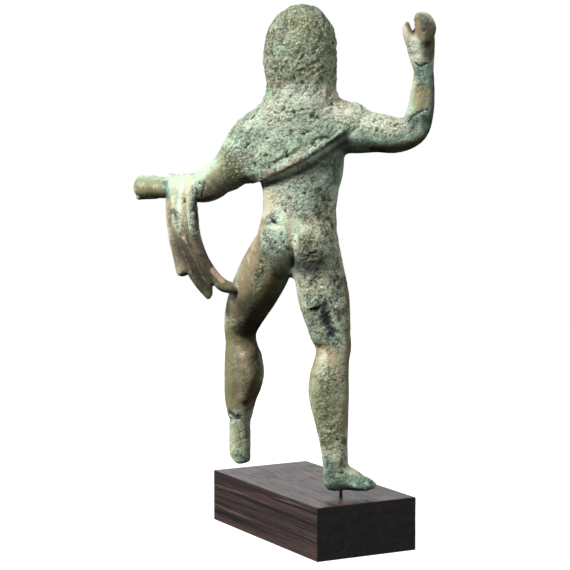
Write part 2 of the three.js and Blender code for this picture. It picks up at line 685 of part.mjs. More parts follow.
// The squared distance from a point to a set of planes, kept as the ten numbers of its
// quadratic form: xx, xy, xz, xw, yy, yz, yw, zz, zw, ww.
const planeForm = ({ x, y, z }, w, weight) => [
  x * x, x * y, x * z, x * w, y * y, y * z, y * w, z * z, z * w, w * w,
].map((term) => term * weight);
const formAt = (f, { x, y, z }) => f[0] * x * x + f[4] * y * y + f[7] * z * z + f[9]
  + 2 * (f[1] * x * y + f[2] * x * z + f[5] * y * z + f[3] * x + f[6] * y + f[8] * z);
const middlePull = 0.002; // how lightly a merged point is drawn to the middle of its edge
const bestPoint = (f, middle) => {
  const pull = middlePull * (f[0] + f[4] + f[7]);
  const matrix = new THREE.Matrix3().set(
    f[0] + pull, f[1], f[2],
    f[1], f[4] + pull, f[5],
    f[2], f[5], f[7] + pull,
  );
  const right = middle.clone().multiplyScalar(pull).sub(new THREE.Vector3(f[3], f[6], f[8]));
  return right.applyMatrix3(matrix.invert());
};

// Merges the ends of the mesh's edges, the least missed first, down to the wanted number of
// triangles. An edge stays where merging it would pinch the mesh or turn a triangle over.
const mostTurned = 0.35; // the cosine of the most that one step may turn a triangle by
const lengthCost = 1e-4; // breaks ties on flat places: short edges go first
function simplify({ points, triangles }, wanted) {
  const around = points.map(() => new Set());
  triangles.forEach((corners, t) => corners.forEach((v) => around[v].add(t)));
  const side = (from, to) => points[to].clone().sub(points[from]);
  const normalOf = ([a, b, c]) => side(a, b).cross(side(a, c));
  const forms = points.map(() => new Array(10).fill(0));
  for (const corners of triangles) {
    const normal = normalOf(corners);
    const area = normal.length() / 2;
    normal.normalize();
    const form = planeForm(normal, -normal.dot(points[corners[0]]), area);
    for (const v of corners) form.forEach((term, i) => { forms[v][i] += term; });
  }
  const age = points.map(() => 0);
  const queue = new CheapestFirst();
  const consider = (a, b) => {
    const form = forms[a].map((term, i) => term + forms[b][i]);
    const to = bestPoint(form, points[a].clone().lerp(points[b], 0.5));
    const cost = formAt(form, to) + lengthCost * points[a].distanceToSquared(points[b]);
    queue.push({ a, b, to, form, cost, ageA: age[a], ageB: age[b] });
  };
  const neighbours = (v) => {
    const found = new Set();
    for (const t of around[v]) for (const other of triangles[t]) if (other !== v) found.add(other);
    return found;
  };
  const turnsOver = (v, gone, to) => {
    const kept = points[v];
    for (const t of around[v]) {
      if (triangles[t].includes(gone)) continue;
      const before = normalOf(triangles[t]).normalize();
      points[v] = to;
      const after = normalOf(triangles[t]).normalize();
      points[v] = kept;
      if (before.dot(after) < mostTurned) return true;
    }
    return false;
  };
  for (const [a, b, c] of triangles) {
    if (a < b) consider(a, b);
    if (b < c) consider(b, c);
    if (c < a) consider(c, a);
  }
  let left = triangles.length;
  while (left > wanted && queue.entries.length > 0) {
    const { a, b, to, form, ageA, ageB } = queue.pop();
    if (age[a] !== ageA || age[b] !== ageB) continue;
    const nearB = neighbours(b);
    const shared = [...neighbours(a)].filter((v) => nearB.has(v));
    if (shared.length !== 2 || turnsOver(a, b, to) || turnsOver(b, a, to)) continue;
    points[a] = to;
    forms[a] = form;
    age[a] += 1;
    age[b] = -1;
    for (const t of around[b]) {
      if (triangles[t].includes(a)) {
        for (const v of triangles[t]) around[v].delete(t);
        triangles[t] = null;
        left -= 1;
      } else {
        triangles[t] = triangles[t].map((v) => (v === b ? a : v));
        around[a].add(t);
      }
    }
    for (const v of neighbours(a)) consider(Math.min(a, v), Math.max(a, v));
  }
  return { points, triangles: triangles.filter(Boolean) };
}

// The whole figure as a geometry in millimetres.
function figureGeometry() {
  const wax = new Wax([-47, -7, -3], [24, 33, 104], fieldStep);
  modelTrunk(wax);
  modelSeat(wax);
  modelRightLeg(wax);
  modelRightFoot(wax);
  modelLeftLeg(wax);
  modelRightArm(wax);
  modelRightHand(wax);
  modelLeftArm(wax);
  modelHood(wax);
  modelSkin(wax);
  modelFace(wax);
  modelKnottedPaws(wax);
  modelHangingFolds(wax);
  modelFlaw(wax);
  const { points, triangles } = simplify(outerSkin(polygonise(wax)), bronzeTriangles);
  const geometry = new THREE.BufferGeometry();
  const corners = triangles.flat().flatMap((v) => points[v].clone().multiplyScalar(share).toArray());
  geometry.setAttribute('position', new THREE.Float32BufferAttribute(corners, 3));
  return geometry;
}

// A closed geometry as a solid that can be cut, and a solid back as a geometry.
const mergeTolerance = 1e-4; // millimetres
function solid(geometry) {
  const bare = geometry.clone();
  bare.deleteAttribute('uv');
  bare.deleteAttribute('normal');
  const merged = mergeVertices(bare, mergeTolerance);
  return new wasm.Manifold(new wasm.Mesh({
    numProp: 3,
    vertProperties: new Float32Array(merged.attributes.position.array),
    triVerts: new Uint32Array(merged.index.array),
  }));
}

function geometryOf(manifold) {
  const { numProp, vertProperties, triVerts } = manifold.getMesh();
  const indexed = new THREE.BufferGeometry();
  indexed.setAttribute('position', new THREE.BufferAttribute(
    Float32Array.from({ length: (vertProperties.length / numProp) * 3 },
      (_, i) => vertProperties[Math.floor(i / 3) * numProp + (i % 3)]), 3));
  indexed.setIndex([...triVerts]);
  const geometry = indexed.toNonIndexed();
  geometry.computeVertexNormals();
  return geometry;
}

// An upright cylinder from one height to another, for the pin and for the holes that take it.
const pinSides = 24;
function upright(radius, bottom, top) {
  const cylinder = new THREE.CylinderGeometry(radius, radius, top - bottom, pinSides);
  cylinder.rotateX(Math.PI / 2);
  cylinder.translate(0, 0, (bottom + top) / 2);
  return cylinder;
}

// The figure, drilled up through the sole for its pin.
function makeFigure() {
  const socket = upright(pinDiameter / 2 + pinClearance, -soleGap, pinInFoot + pinClearance);
  const bronze = new THREE.MeshStandardMaterial({ color: 0x7d8a76, roughness: 0.6, metalness: 0.75 });
  const mesh = new THREE.Mesh(geometryOf(solid(figureGeometry()).subtract(solid(socket))), bronze);
  mesh.name = 'figure';
  return mesh;
}

// The pin, from the bottom of its hole in the block to the end of its socket in the foot.
function makePin() {
  const steel = new THREE.MeshStandardMaterial({ color: 0x3b3a38, roughness: 0.4, metalness: 0.9 });
  const pin = new THREE.Mesh(upright(pinDiameter / 2, -soleGap - pinInBlock, pinInFoot), steel);
  pin.name = 'mounting_pin';
  return pin;
}

// The block, with its edges broken all round and a blind hole for the pin.
function makeBlock() {
  const outline = new THREE.Shape();
  const x = blockWidth / 2 - blockEdge;
  const y = blockLength / 2 - blockEdge;
  outline.moveTo(-x, -y).lineTo(x, -y).lineTo(x, y).lineTo(-x, y).closePath();
  const body = new THREE.ExtrudeGeometry(outline, {
    depth: blockHeight - 2 * blockEdge,
    bevelEnabled: true,
    bevelThickness: blockEdge,
    bevelSize: blockEdge,
    bevelSegments: 3,
  });
  body.translate(0, 0, blockEdge);
  const holeRadius = pinDiameter / 2 + pinClearance;
  const hole = upright(holeRadius, blockHeight - pinInBlock - pinClearance, blockHeight + soleGap);
  hole.translate(pinX, pinY, 0);
  const wood = new THREE.MeshStandardMaterial({ color: 0x241715, roughness: 0.35, metalness: 0 });
  const block = new THREE.Mesh(geometryOf(solid(body).subtract(solid(hole))), wood);
  block.name = 'base_block';
  return block;
}

// Everything that stands over the pin's place, turned as it is shown on the block.
const standing = new THREE.Group();
standing.position.set(pinX, pinY, blockHeight + soleGap);
standing.rotation.z = THREE.MathUtils.degToRad(figureTurn);
standing.add(makeFigure(), makePin());

const votiveBronze = new THREE.Group();
votiveBronze.add(makeBlock(), standing);

export default votiveBronze;
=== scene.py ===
import math

import bpy
import numpy as np
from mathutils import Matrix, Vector


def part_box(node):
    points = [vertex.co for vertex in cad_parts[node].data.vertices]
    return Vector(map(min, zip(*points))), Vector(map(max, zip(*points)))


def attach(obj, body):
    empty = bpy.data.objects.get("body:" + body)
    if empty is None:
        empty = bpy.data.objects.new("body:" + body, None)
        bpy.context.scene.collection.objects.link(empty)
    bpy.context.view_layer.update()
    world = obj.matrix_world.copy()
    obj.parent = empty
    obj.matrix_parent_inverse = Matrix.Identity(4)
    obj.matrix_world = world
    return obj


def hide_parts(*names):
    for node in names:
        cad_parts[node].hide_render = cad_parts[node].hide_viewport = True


# An Etruscan votive bronze seen from behind: a striding hero in a lion's skin, green with age,
# on a steel pin in a dark wooden block. The bronze is worked out as a fine mesh with its
# corrosion, and the pin and the block keep their own solids.

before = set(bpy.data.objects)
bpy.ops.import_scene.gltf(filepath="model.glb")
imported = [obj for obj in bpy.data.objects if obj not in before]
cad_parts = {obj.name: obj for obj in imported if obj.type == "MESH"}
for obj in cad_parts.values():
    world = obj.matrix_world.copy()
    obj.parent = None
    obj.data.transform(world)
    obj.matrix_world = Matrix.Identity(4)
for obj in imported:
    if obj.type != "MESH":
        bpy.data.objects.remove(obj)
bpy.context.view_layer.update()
pinLow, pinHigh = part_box("mounting_pin")
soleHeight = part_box("figure")[0].z

# The figure is modelled in shares of its height: x to his right, y the way that he faces,
# z up from the sole, with the pin as the z axis.
figure = {
    "share": 0.0018,  # metres, a hundredth of his height
    "turn": 151.5,  # degrees from his own axes to the block's
    "middle": -8.4,  # the plane that halves head and trunk
    "cell": 0.52,  # spacing of the first even mesh
    "curveSteps": 5,  # straight pieces between two stations of a limb
    "reach": 2.0,  # how far past a shape's own box its surface counts
}
middle = figure["middle"]
far = 50.0  # the distance where no shape is near
pinPlace = np.array([(pinLow.x + pinHigh.x) / 2, (pinLow.y + pinHigh.y) / 2, soleHeight])
turnAngle = math.radians(figure["turn"])
turnMatrix = np.array([
    [math.cos(turnAngle), -math.sin(turnAngle), 0.0],
    [math.sin(turnAngle), math.cos(turnAngle), 0.0],
    [0.0, 0.0, 1.0],
])


def toFrame(points):  # shares to metres on the block
    return points @ turnMatrix.T * figure["share"] + pinPlace


def toShares(points):  # and back
    return (points - pinPlace) @ turnMatrix / figure["share"]


# Shapes in wax


def smoothStep(value, low, high):  # 0 below low, 1 above high, and 3tt - 2ttt between
    t = np.clip((value - low) / (high - low), 0, 1)
    return t * t * (3 - 2 * t)


def smoothMin(a, b, blend):  # the smaller, less hh / 4blend where they are within blend of each other
    h = np.maximum(blend - np.abs(a - b), 0)
    return np.minimum(a, b) - h * h / (4 * blend)


def lengths(vectors):
    return np.sqrt(np.einsum("ij,ij->i", vectors, vectors))


def unit(vectors):
    return vectors / np.maximum(lengths(vectors), 1e-9)[:, None]


# Distance to an ellipsoid: k(k - 1) over the length of q / rr, where k is the length of q / r.
def ellipsoidDistance(q, radii):
    scaled = lengths(q / radii)
    return scaled * (scaled - 1) / np.maximum(lengths(q / radii**2), 1e-6)


# Points on a cubic through stations. Its slope at a station is the centripetal Catmull-Rom one,
# where knots is each gap's length to the power 0.5, or the plain one where all knots are alike.
def curveThrough(values, knots, steps):
    ends = np.vstack([2 * values[0] - values[1], values, 2 * values[-1] - values[-2]])
    gaps = np.concatenate([knots[:1], knots, knots[-1:]])[:, None]
    step = np.diff(ends, axis=0)
    slope = step / gaps
    joint = slope[:-1] - (ends[2:] - ends[:-2]) / (gaps[:-1] + gaps[1:]) + slope[1:]
    t = (np.arange(steps) / steps)[:, None, None]
    start, end = values[:-1], values[1:]
    leave, arrive = joint[:-1] * gaps[1:-1], joint[1:] * gaps[1:-1]
    bend = 3 * (end - start) - 2 * leave - arrive
    twist = 2 * (start - end) + leave + arrive
    curve = start + leave * t + bend * t**2 + twist * t**3
    return np.vstack([curve.transpose(1, 0, 2).reshape(-1, values.shape[1]), values[-1:]])


# A round-ended tube of oval section through stations of x, y, z, half width and half depth. The
# depth is the way that it faces.
class Limb:
    def __init__(self, stations, facing=(0, 1, 0)):
        rows = np.array([s if len(s) == 5 else (*s, s[3]) for s in stations], float)
        gaps = np.sqrt(lengths(np.diff(rows[:, :3], axis=0)))
        steps = figure["curveSteps"]
        centres = curveThrough(rows[:, :3], gaps, steps)
        self.sizes = curveThrough(rows[:, 3:], np.ones(len(gaps)), steps)
        self.start = centres[:-1]
        self.along = np.diff(centres, axis=0)
        self.tangent = unit(self.along)
        self.across = unit(np.cross(np.array(facing, float), self.tangent))
        self.deep = np.cross(self.tangent, self.across)
        widest = self.sizes.max()
        self.low = centres.min(0) - widest
        self.high = centres.max(0) + widest

    def distance(self, points):
        nearest = np.full(len(points), far)
        room = self.sizes.max() + figure["reach"] + lengths(self.along).max()
        for i, along in enumerate(self.along):
            offset = points - self.start[i]
            near = np.flatnonzero(np.abs(offset).max(1) < room)
            offset = offset[near]
            t = np.clip(offset @ along / (along @ along), 0, 1)[:, None]
            offset = offset - along * t
            radii = self.sizes[i] * (1 - t) + self.sizes[i + 1] * t
            radii = np.column_stack([radii, radii.min(1)])
            axes = np.stack([self.across[i], self.deep[i], self.tangent[i]], 1)
            nearest[near] = np.minimum(nearest[near], ellipsoidDistance(offset @ axes, radii))
        return nearest


class Ball:  # a ball or ellipsoid, turned by degrees about x, then y, then z
    def __init__(self, centre, radii, turn=(0, 0, 0)):
        self.centre = np.array(centre, float)
        self.radii = np.ones(3) * radii
        x, y, z = np.radians(turn)
        aboutX = np.array([[1, 0, 0], [0, math.cos(x), -math.sin(x)], [0, math.sin(x), math.cos(x)]])
        aboutY = np.array([[math.cos(y), 0, math.sin(y)], [0, 1, 0], [-math.sin(y), 0, math.cos(y)]])
        aboutZ = np.array([[math.cos(z), -math.sin(z), 0], [math.sin(z), math.cos(z), 0], [0, 0, 1]])
        self.axes = aboutX @ aboutY @ aboutZ
        self.low = self.centre - self.radii.max()
        self.high = self.centre + self.radii.max()

    def distance(self, points):
        return ellipsoidDistance((points - self.centre) @ self.axes, self.radii)


class Past:  # all that lies past a plane, near a point on it
    def __init__(self, point, direction, radius):
        self.point = np.array(point, float)
        self.away = unit(np.array([direction], float))[0]
        self.low = self.point - radius
        self.high = self.point + radius

    def distance(self, points):
        return (self.point - points) @ self.away


class Wax:  # the figure's surface as a list of changes to the distance from it
    def __init__(self):
        self.changes = []

    def rework(self, low, high, change):
        room = figure["reach"]
        self.changes.append((np.array(low) - room, np.array(high) + room, change))

    def add(self, shape, blend=0.8):
        self.rework(shape.low, shape.high, lambda d, p: smoothMin(d, shape.distance(p), blend))

    def cut(self, shape, blend=0.3):
        self.rework(shape.low, shape.high, lambda d, p: -smoothMin(-d, shape.distance(p), blend))

    def at(self, points):
        distance = np.full(len(points), far)
        for low, high, change in self.changes:
            near = np.flatnonzero(np.all((points > low) & (points < high), axis=1))
            if len(near):
                distance[near] = change(distance[near], points[near])
        return distance


def same(place):
    return tuple(place)


def mirrored(place):  # the like place on his other side
    return (2 * middle - place[0], *place[1:])


bothSides = (same, mirrored)
up = (0, 0, 1)  # the way a level limb faces


def modelTrunk(wax):
    wax.add(Limb([
        (-9.4, 11.4, 47.5, 6.6, 4.4), (-9.1, 11.2, 51.5, 7.5, 4.9), (-8.7, 11.3, 55.5, 7.6, 4.5),
        (-8.4, 11.7, 60.5, 7.8, 4.3), (-8.1, 12.2, 66, 8.1, 5), (-8.5, 12.6, 71.5, 9.2, 5.3),
        (-8.7, 12.8, 75.2, 7.6, 4.6), (-8.5, 13.2, 79, 4.6, 3.6),
    ]), 1)
    wax.add(Limb([(-8.5, 13.2, 78, 3.8), (-8.4, 14.2, 86, 3.5)]), 2)  # neck
    for at in bothSides:
        wax.add(Ball(at((-4.4, 16.2, 72.2)), (4.7, 2.5, 3.3)), 1.2)  # chest
        wax.add(Ball(at((-1.8, 12.4, 67)), (2.4, 3.6, 5)), 1.6)  # flank
        wax.add(Ball(at((-3.3, 12, 54.6)), (2.2, 3.4, 2.4)), 1.8)  # hip
        for height, half in ((66.6, 1.7), (63.2, 1.6), (59.9, 1.6)):  # belly muscles
            wax.add(Ball(at((-6.7, 15.6, height)), (1.8, 1.5, half)), 0.8)
        wax.add(Limb([at((-3.2, 15.3, 52.6, 0.8)), at((-6.6, 15, 48.2, 1))]), 1.2)  # groin line
    wax.add(Ball((middle, 15, 54.6), (4.6, 2.2, 4.4)), 1.4)  # lower belly, its navel, the groin
    wax.cut(Ball((middle, 17.4, 56.9), (0.5, 0.8, 0.5)), 0.3)
    wax.add(Ball((middle - 0.5, 15.6, 47.2), (1.5, 1.3, 1.7)), 0.7)


def modelSeat(wax):
    wax.add(Ball((-5.6, 7.3, 50.3), (4.3, 4.5, 5)), 0.9)  # the right side, then the left
    wax.add(Ball((-12.6, 8.8, 51.6), (4.2, 3.7, 5.4), (0, -12, 0)), 2.2)
    wax.cut(Limb([  # the cleft
        (-9.9, 5.4, 57.5, 0.4, 0.7), (-10.2, 4.2, 53.5, 0.4, 1.2),
        (-10.1, 4.2, 49.6, 0.35, 1.6), (-9.8, 6.2, 45.4, 0.35, 1.7),
    ]), 1.3)
    wax.cut(Limb([  # the crease under the right side
        (-8.8, 3.6, 45.4, 0.9, 0.5), (-5.6, 2.6, 44.6, 1.2, 0.5), (-2, 4.4, 45.4, 0.9, 0.4),
    ], up), 1.1)


def modelRightLeg(wax):
    wax.add(Limb([
        (-4.9, 9.8, 50.5, 4.2, 4.6), (-4.5, 8.8, 45.2, 4.7, 5.2), (-3.5, 7.4, 39.4, 4.7, 5.3),
        (-2.4, 5.8, 33.6, 4, 4.5), (-1.6, 4.6, 28.9, 3.2, 3.5), (-2.2, 3.7, 24.2, 3.4, 3.9),
        (-2.5, 2.9, 19.8, 3.4, 4.2), (-1.9, 1.8, 14.2, 2.7, 3.5), (-1.4, 0.8, 9.2, 2.1, 2.85),
        (-1.1, 0.2, 4.6, 2.1, 2.6),
    ], (1, -0.1, 0)), 1.6)
    wax.add(Ball((0.5, 4.4, 29.6), (1.3, 1.6, 2.2)), 1.4)  # knee
    for calf in (
        ((-4.2, 1.6, 24.6, 1.1, 1), (-4.2, 0.5, 20, 1.5, 1.3), (-3.4, 0.2, 16.2, 1, 0.8)),
        ((-4.8, 4.4, 24, 1.1, 1), (-4.8, 4, 20, 1.3, 1.3), (-3.8, 2.8, 15.6, 0.8, 0.8)),
    ):
        wax.add(Limb(calf), 1.2)
    wax.add(Limb([(-5.4, 3.2, 38, 1.5, 1.2), (-4.4, 2.6, 31, 0.9, 0.8)]), 1.4)  # hamstring
    for y, z in ((-1.5, 6.4), (2, 6.9)):  # ankle bones
        wax.add(Ball((-0.9, y, z), (0.9, 0.8, 1.1)), 1)


def modelRightFoot(wax):
    wax.add(Ball((-1.5, 0.2, 2.2), (2.1, 2.1, 2.4)), 1)  # heel
    wax.add(Limb([
        (-1, 0.2, 2.8, 2.2, 2.8), (1.6, 0, 2.4, 2.2, 2.4), (3.9, -0.1, 1.6, 2.4, 1.7),
        (5.2, -0.1, 1.3, 2.3, 1.4),
    ], up), 1)
    for across in np.linspace(0, 1, 5):  # 0 is the big toe, on the side away from his back
        y = 1.5 - 3.5 * across
        tip = 6.3 - 1.4 * across * across
        thick = 1.05 - 0.5 * math.sqrt(across)
        wax.add(Limb([(tip - 2, y, 1.3, thick), (tip, y, 0.9, thick)], up), 0.25)
        nail = (tip + thick * 0.7, y, 0.95 + thick * 0.65)
        wax.cut(Ball(nail, (thick * 0.55, thick * 0.55, 0.28)), 0.1)
    wax.cut(Past((2, 0, 0), (0, 0, -1), 7), 0.05)  # the flat sole


def modelLeftLeg(wax):
    facing = (-0.75, 0.66, 0)
    wax.add(Limb([
        (-13, 12.6, 51, 4.2, 4.6), (-15.4, 15, 45.2, 5.1, 5.4), (-17.8, 17.2, 40.2, 4.9, 5.3),
        (-19.9, 19.6, 35.6, 4.2, 4.6), (-21.2, 21.7, 31.2, 3.4, 3.7), (-21.1, 22, 28.2, 3.2, 3.5),
        (-20.7, 21.7, 24.6, 3.6, 4.2), (-20.5, 21.4, 20.8, 3.8, 4.6), (-21.2, 21.6, 16.6, 3.15, 3.8),
        (-21.4, 21.8, 12.6, 2.5, 2.9),
    ], facing), 1.6)
    wax.add(Ball((-22.9, 23.8, 31), (1.6, 1.5, 1.9)), 1)  # knee
    for calf in (
        ((-19.6, 18.9, 25.2, 1.2, 1), (-19.4, 18, 21, 1.6, 1.2), (-20.2, 18.6, 16.6, 0.9, 0.8)),
        ((-17.9, 21.6, 25.2, 1, 1), (-18.1, 21.4, 21.4, 1.4, 1.3), (-19.5, 21, 17.4, 0.8, 0.8)),
    ):
        wax.add(Limb(calf), 1.2)
    wax.add(Limb([(-21.4, 21.8, 13, 2.3), (-21.4, 21.8, 2.4, 2.3)], facing), 0.3)  # the stump
    wax.cut(Past((-21.4, 21.8, 1.7), (0.1, 0, -1), 4), 0.7)
    wax.cut(Past((-23.3, 21.8, 2.9), (-1, 0, -0.9), 4), 0.8)
    wax.cut(Ball((-24.4, 20.4, 11.6), (1.6, 2.4, 0.6), (0, 18, 0)), 0.3)  # the notch at its step


def modelRightArm(wax):
    wax.add(Limb([
        (-3.4, 12.6, 74.4, 4.3), (2.4, 11.6, 74.1, 4.85), (7.4, 10.3, 73.5, 4), (11.8, 9.1, 73.1, 3.6),
        (15.1, 8.6, 74.4, 3.15), (16.5, 8.7, 78, 2.8), (17, 9.1, 81.8, 2.5),
        (17.2, 9.5, 86.6, 2.05, 2.1), (16.9, 9.7, 89.4, 2.3, 2.2),
    ], up), 1.6)
    wax.add(Ball((8.4, 10.6, 75.1), (3.8, 2.2, 1.9)), 1.4)  # upper arm muscle


def modelRightHand(wax):
    wax.add(Limb([(16.9, 9.8, 88.6, 2.1), (16.6, 9.9, 91.6, 2.9, 2.6), (17.2, 9.9, 94.2, 2.2, 2.6)]), 1)
    for i, y in enumerate(np.linspace(7.6, 12.4, 4)):  # fingers
        short = 0.25 * abs(i - 1)
        wax.add(Limb([
            (17.9, y, 93.2, 1.1), (18.4, y, 95.6 - short, 1.2), (17.4, y, 97.3 - short, 1.15),
            (16, y, 97.7 - short, 0.75), (16.2, y, 96.2 - short, 0.75), (16.4, y, 95 - short, 0.6),
        ]), 0.3)
    wax.add(Ball((17.3, 7.9, 94.6), (1.6, 1.5, 3)), 0.8)
    wax.add(Limb([  # thumb
        (15.4, 8.6, 91.2, 1.5), (14.1, 8.2, 93.4, 1.2), (13.6, 8.4, 95, 0.9), (13.7, 8.6, 96.1, 0.45),
    ]), 0.6)
    wax.cut(Limb([(14.9, 5, 96.4, 0.5), (14.9, 15, 96.4, 0.5)], up), 0.4)  # the open grip


def modelLeftArm(wax):
    wax.add(Limb([
        (-14.2, 13.2, 75.2, 3.8), (-18.8, 13.4, 72.1, 3.6), (-22.7, 13, 66.6, 2.9),
        (-26.2, 12.9, 62.9, 3.1), (-29.6, 15.4, 61.2, 2.6), (-33.2, 19.2, 61.2, 2),
        (-37.6, 23.6, 61.5, 2.1),
    ], up), 1.2)
    wax.add(Limb([  # the fist, then its fingers, then the thumb
        (-37.6, 23.6, 61.4, 2.1), (-40.2, 25.8, 61.4, 2.6, 2.5), (-42.3, 27.5, 61.3, 2.3, 2.4),
    ], up), 0.8)
    for z in np.linspace(62.9, 59.4, 4):
        wax.add(Limb([
            (-43.2, 27.4, z, 0.85), (-42.6, 29, z, 0.85), (-40.8, 29.6, z, 0.8), (-39.6, 28.6, z, 0.7),
        ]), 0.2)
    wax.add(Limb([(-39.6, 26, 62.8, 0.9), (-40.4, 28.4, 63.1, 0.8), (-41.4, 29.6, 62.4, 0.65)]), 0.3)


# The skin's lower edge on his back falls from his right shoulder to his left hip. At the
# shoulder it turns up into the skin's end, which lies down softly on the arm.
skin = {
    "thickness": 1.9 / 1.8,
    "hemStart": -4.7,  # the x where the hem has the next three
    "hemHeight": 69.6,
    "hemSlope": 0.6,
    "hemCurve": 0.0081,
    "hemLean": 0.86,  # cosine of the slope
    "roll": 0.5,  # height of the roll along the hem
    "line": 0.35,  # depth of the line behind it
}


def hemHeight(x):  # height + slope u + curve uu, u from the start
    u = x - skin["hemStart"]
    return skin["hemHeight"] + skin["hemSlope"] * u + skin["hemCurve"] * u**2


def overHem(points):  # distance above that edge
    return (points[:, 2] - hemHeight(points[:, 0])) * skin["hemLean"]


def fromEnd(points):  # how far a place is inside the skin's end
    return 0.6 * points[:, 2] - 0.8 * points[:, 0] - 42.9


def ridge(offset, width):  # a bell, 1 at the middle
    return np.exp(-((offset / width) ** 2))


# The skin is the body's own surface raised by its thickness, down to the hem, with a roll
# along the hem and a line behind the roll.
def modelSkin(wax):
    wax.add(Limb([(-15, 11, 67.5, 2.6), (-18.6, 11.8, 66.4, 2.2), (-22, 12.4, 66, 1.8)]), 1.6)
    wax.add(Limb([  # from the hood down the nape
        (-8.3, 11.8, 87, 7.35, 5.8), (-8.2, 11.6, 82.5, 7.25, 5.2), (-8.4, 11.6, 78, 7.5, 4.4),
    ]), 1.6)
    wax.add(Ball((-1.2, 12.2, 78), (2.2, 2.8, 1.7)), 1.4)

    def raised(d, points):
        x, y, z = points.T
        fade = 1 - smoothStep(z, 78, 84)  # into the hood
        overArm = smoothStep(-x, 17, 21)  # on the arm the skin has no front edge
        nape = 13.2 + 0.7 * np.maximum(z - 75, 0)  # y of the front edge over the shoulders
        along = np.clip((-x - 17) / 4, 0, 1)
        steepness = (40 - nape) * 1.5 * along * (1 - along)
        front = (y - nape - (40 - nape) * overArm) / np.sqrt(1 + steepness**2)
        over = overHem(points)
        rolled = smoothStep(-x, -4, 2) * (1 - smoothStep(-x, 12, 18))
        line = skin["line"] * ridge(over - 2.3, 0.4) * smoothStep(-x, 5, 10)
        roll = skin["roll"] * ridge(over - 0.7, 0.6) - line
        lying = smoothStep(fromEnd(points), -1, 2.4)
        thickness = (skin["thickness"] + roll * rolled) * fade * lying
        edge = np.maximum.reduce([-over, front, -36.6 - x])
        return smoothMin(d, np.maximum(d - thickness, edge), 0.25 * fade * lying + 1e-6)

    wax.rework((-40, 2, 54), (8, 30, 84), raised)  # in a box round the cloak


def modelHangingFolds(wax):
    wax.add(Limb([  # the sheet behind the folds
        (-33.6, 18.4, 63, 3.6, 1), (-33.4, 16.8, 57, 3.3, 0.9),
        (-33, 16.2, 50, 3, 0.8), (-31.4, 15.9, 44.5, 2.6, 0.7),
    ], (0.66, 0.75, 0)), 0.8)
    folds = (
        ((-35.4, 21, 63.2, 1), (-36.1, 18.8, 58.5, 1), (-35.6, 18, 52, 1), (-34.3, 17.4, 46.8, 1.1),
         (-33.5, 17.2, 44.2, 1.4)),
        ((-34.4, 19.6, 63.5, 1), (-34.7, 17.2, 58, 1), (-34, 16.4, 51.5, 1), (-32, 15.8, 45, 1),
         (-29.6, 15.4, 41, 0.9), (-27.9, 15.2, 38.7, 0.6)),
        ((-33, 18.2, 63.7, 1), (-33.1, 15.7, 57.6, 1), (-32.4, 14.9, 51, 1), (-30.3, 14.6, 45.6, 1),
         (-28.1, 14.9, 41.6, 1), (-27.6, 15.1, 39.4, 0.65)),
        ((-31.6, 15.4, 64, 1), (-31.3, 12.6, 60.6, 1.2), (-31.1, 12.7, 57, 1.2),
         (-30.5, 13.2, 52, 1.15), (-28.9, 13.5, 47, 1.15), (-26.3, 14.2, 42.8, 1.2),
         (-24.7, 14.5, 41.2, 1.35), (-23, 14.7, 40.6, 1.2)),
    )
    for fold in folds:
        wax.add(Limb(fold), 0.45)
    wax.add(Ball((-32.4, 17, 44.7), (1.3, 0.9, 1.4)), 0.5)  # between the tails


def modelHood(wax):
    wax.add(Ball((middle, 13.4, 90.2), (7.55, 7.4, 9.4)), 1.6)
    wax.add(Ball((middle + 0.6, 13.6, 92.7), (6.5, 7, 7.45)), 1.6)
    wax.cut(Ball((middle, 23.4, 87.6), (4.9, 7, 7)), 0.8)  # its opening
    wax.add(Limb([  # the lion's muzzle over the brow
        (middle, 16.4, 97.2, 3.8, 2.8), (middle, 20.6, 95.8, 3, 2.1), (middle, 22.2, 95.2, 2.2, 1.5),
    ], up), 1)
    for at in bothSides:
        wax.add(Ball(at((-4.4, 17.2, 97)), (1.3, 0.9, 1.5)), 0.5)  # ear, then nostril
        wax.cut(Ball(at((-7.3, 24, 95.4)), 0.45), 0.2)
        for angle in np.radians(np.linspace(52, -52, 7)):  # locks of mane round the face
            rim = (middle + 5.4 * math.cos(angle), 17.2, 88.4 + 7.2 * math.sin(angle))
            tip = (middle + 6.6 * math.cos(angle), 14.8, 88 + 8.6 * math.sin(angle - 0.14))
            wax.add(Limb([at((*rim, 1.15)), at((*tip, 0.7))]), 0.3)


def modelFace(wax):
    wax.add(Ball((middle, 16.4, 88.6), (4.1, 4.6, 5.7)), 0.5)
    wax.add(Ball((middle, 18.7, 84.4), (2.5, 2.1, 1.8)), 1.4)  # chin, then nose
    wax.add(Limb([(middle, 20.5, 90.7, 0.75), (middle, 21.5, 88.9, 0.75), (middle, 22, 87.7, 0.9)]), 0.5)
    for at in bothSides:
        wax.add(Ball(at((-5.9, 18.8, 87)), (1.7, 1.6, 1.9)), 1)  # cheek
        wax.cut(Ball(at((-6.6, 21.4, 89.5)), (1.15, 1, 0.8)), 0.5)  # eye socket and eye
        wax.add(Ball(at((-6.6, 19.9, 89.4)), (0.95, 0.9, 0.7)), 0.2)
        wax.add(Limb([  # eyebrow
            at((-5, 19.9, 90.6, 0.5)), at((-6.8, 20.8, 91, 0.55)), at((-8.2, 20.7, 90.6, 0.5)),
        ]), 0.4)
        wax.add(Limb([at((-7.1, 20.4, 85.9, 0.4)), at((-8.4, 20.9, 86.1, 0.5))]), 0.3)  # lips
        wax.add(Limb([at((-7.3, 20.3, 85.1, 0.4)), at((-8.4, 20.8, 84.9, 0.55))]), 0.3)


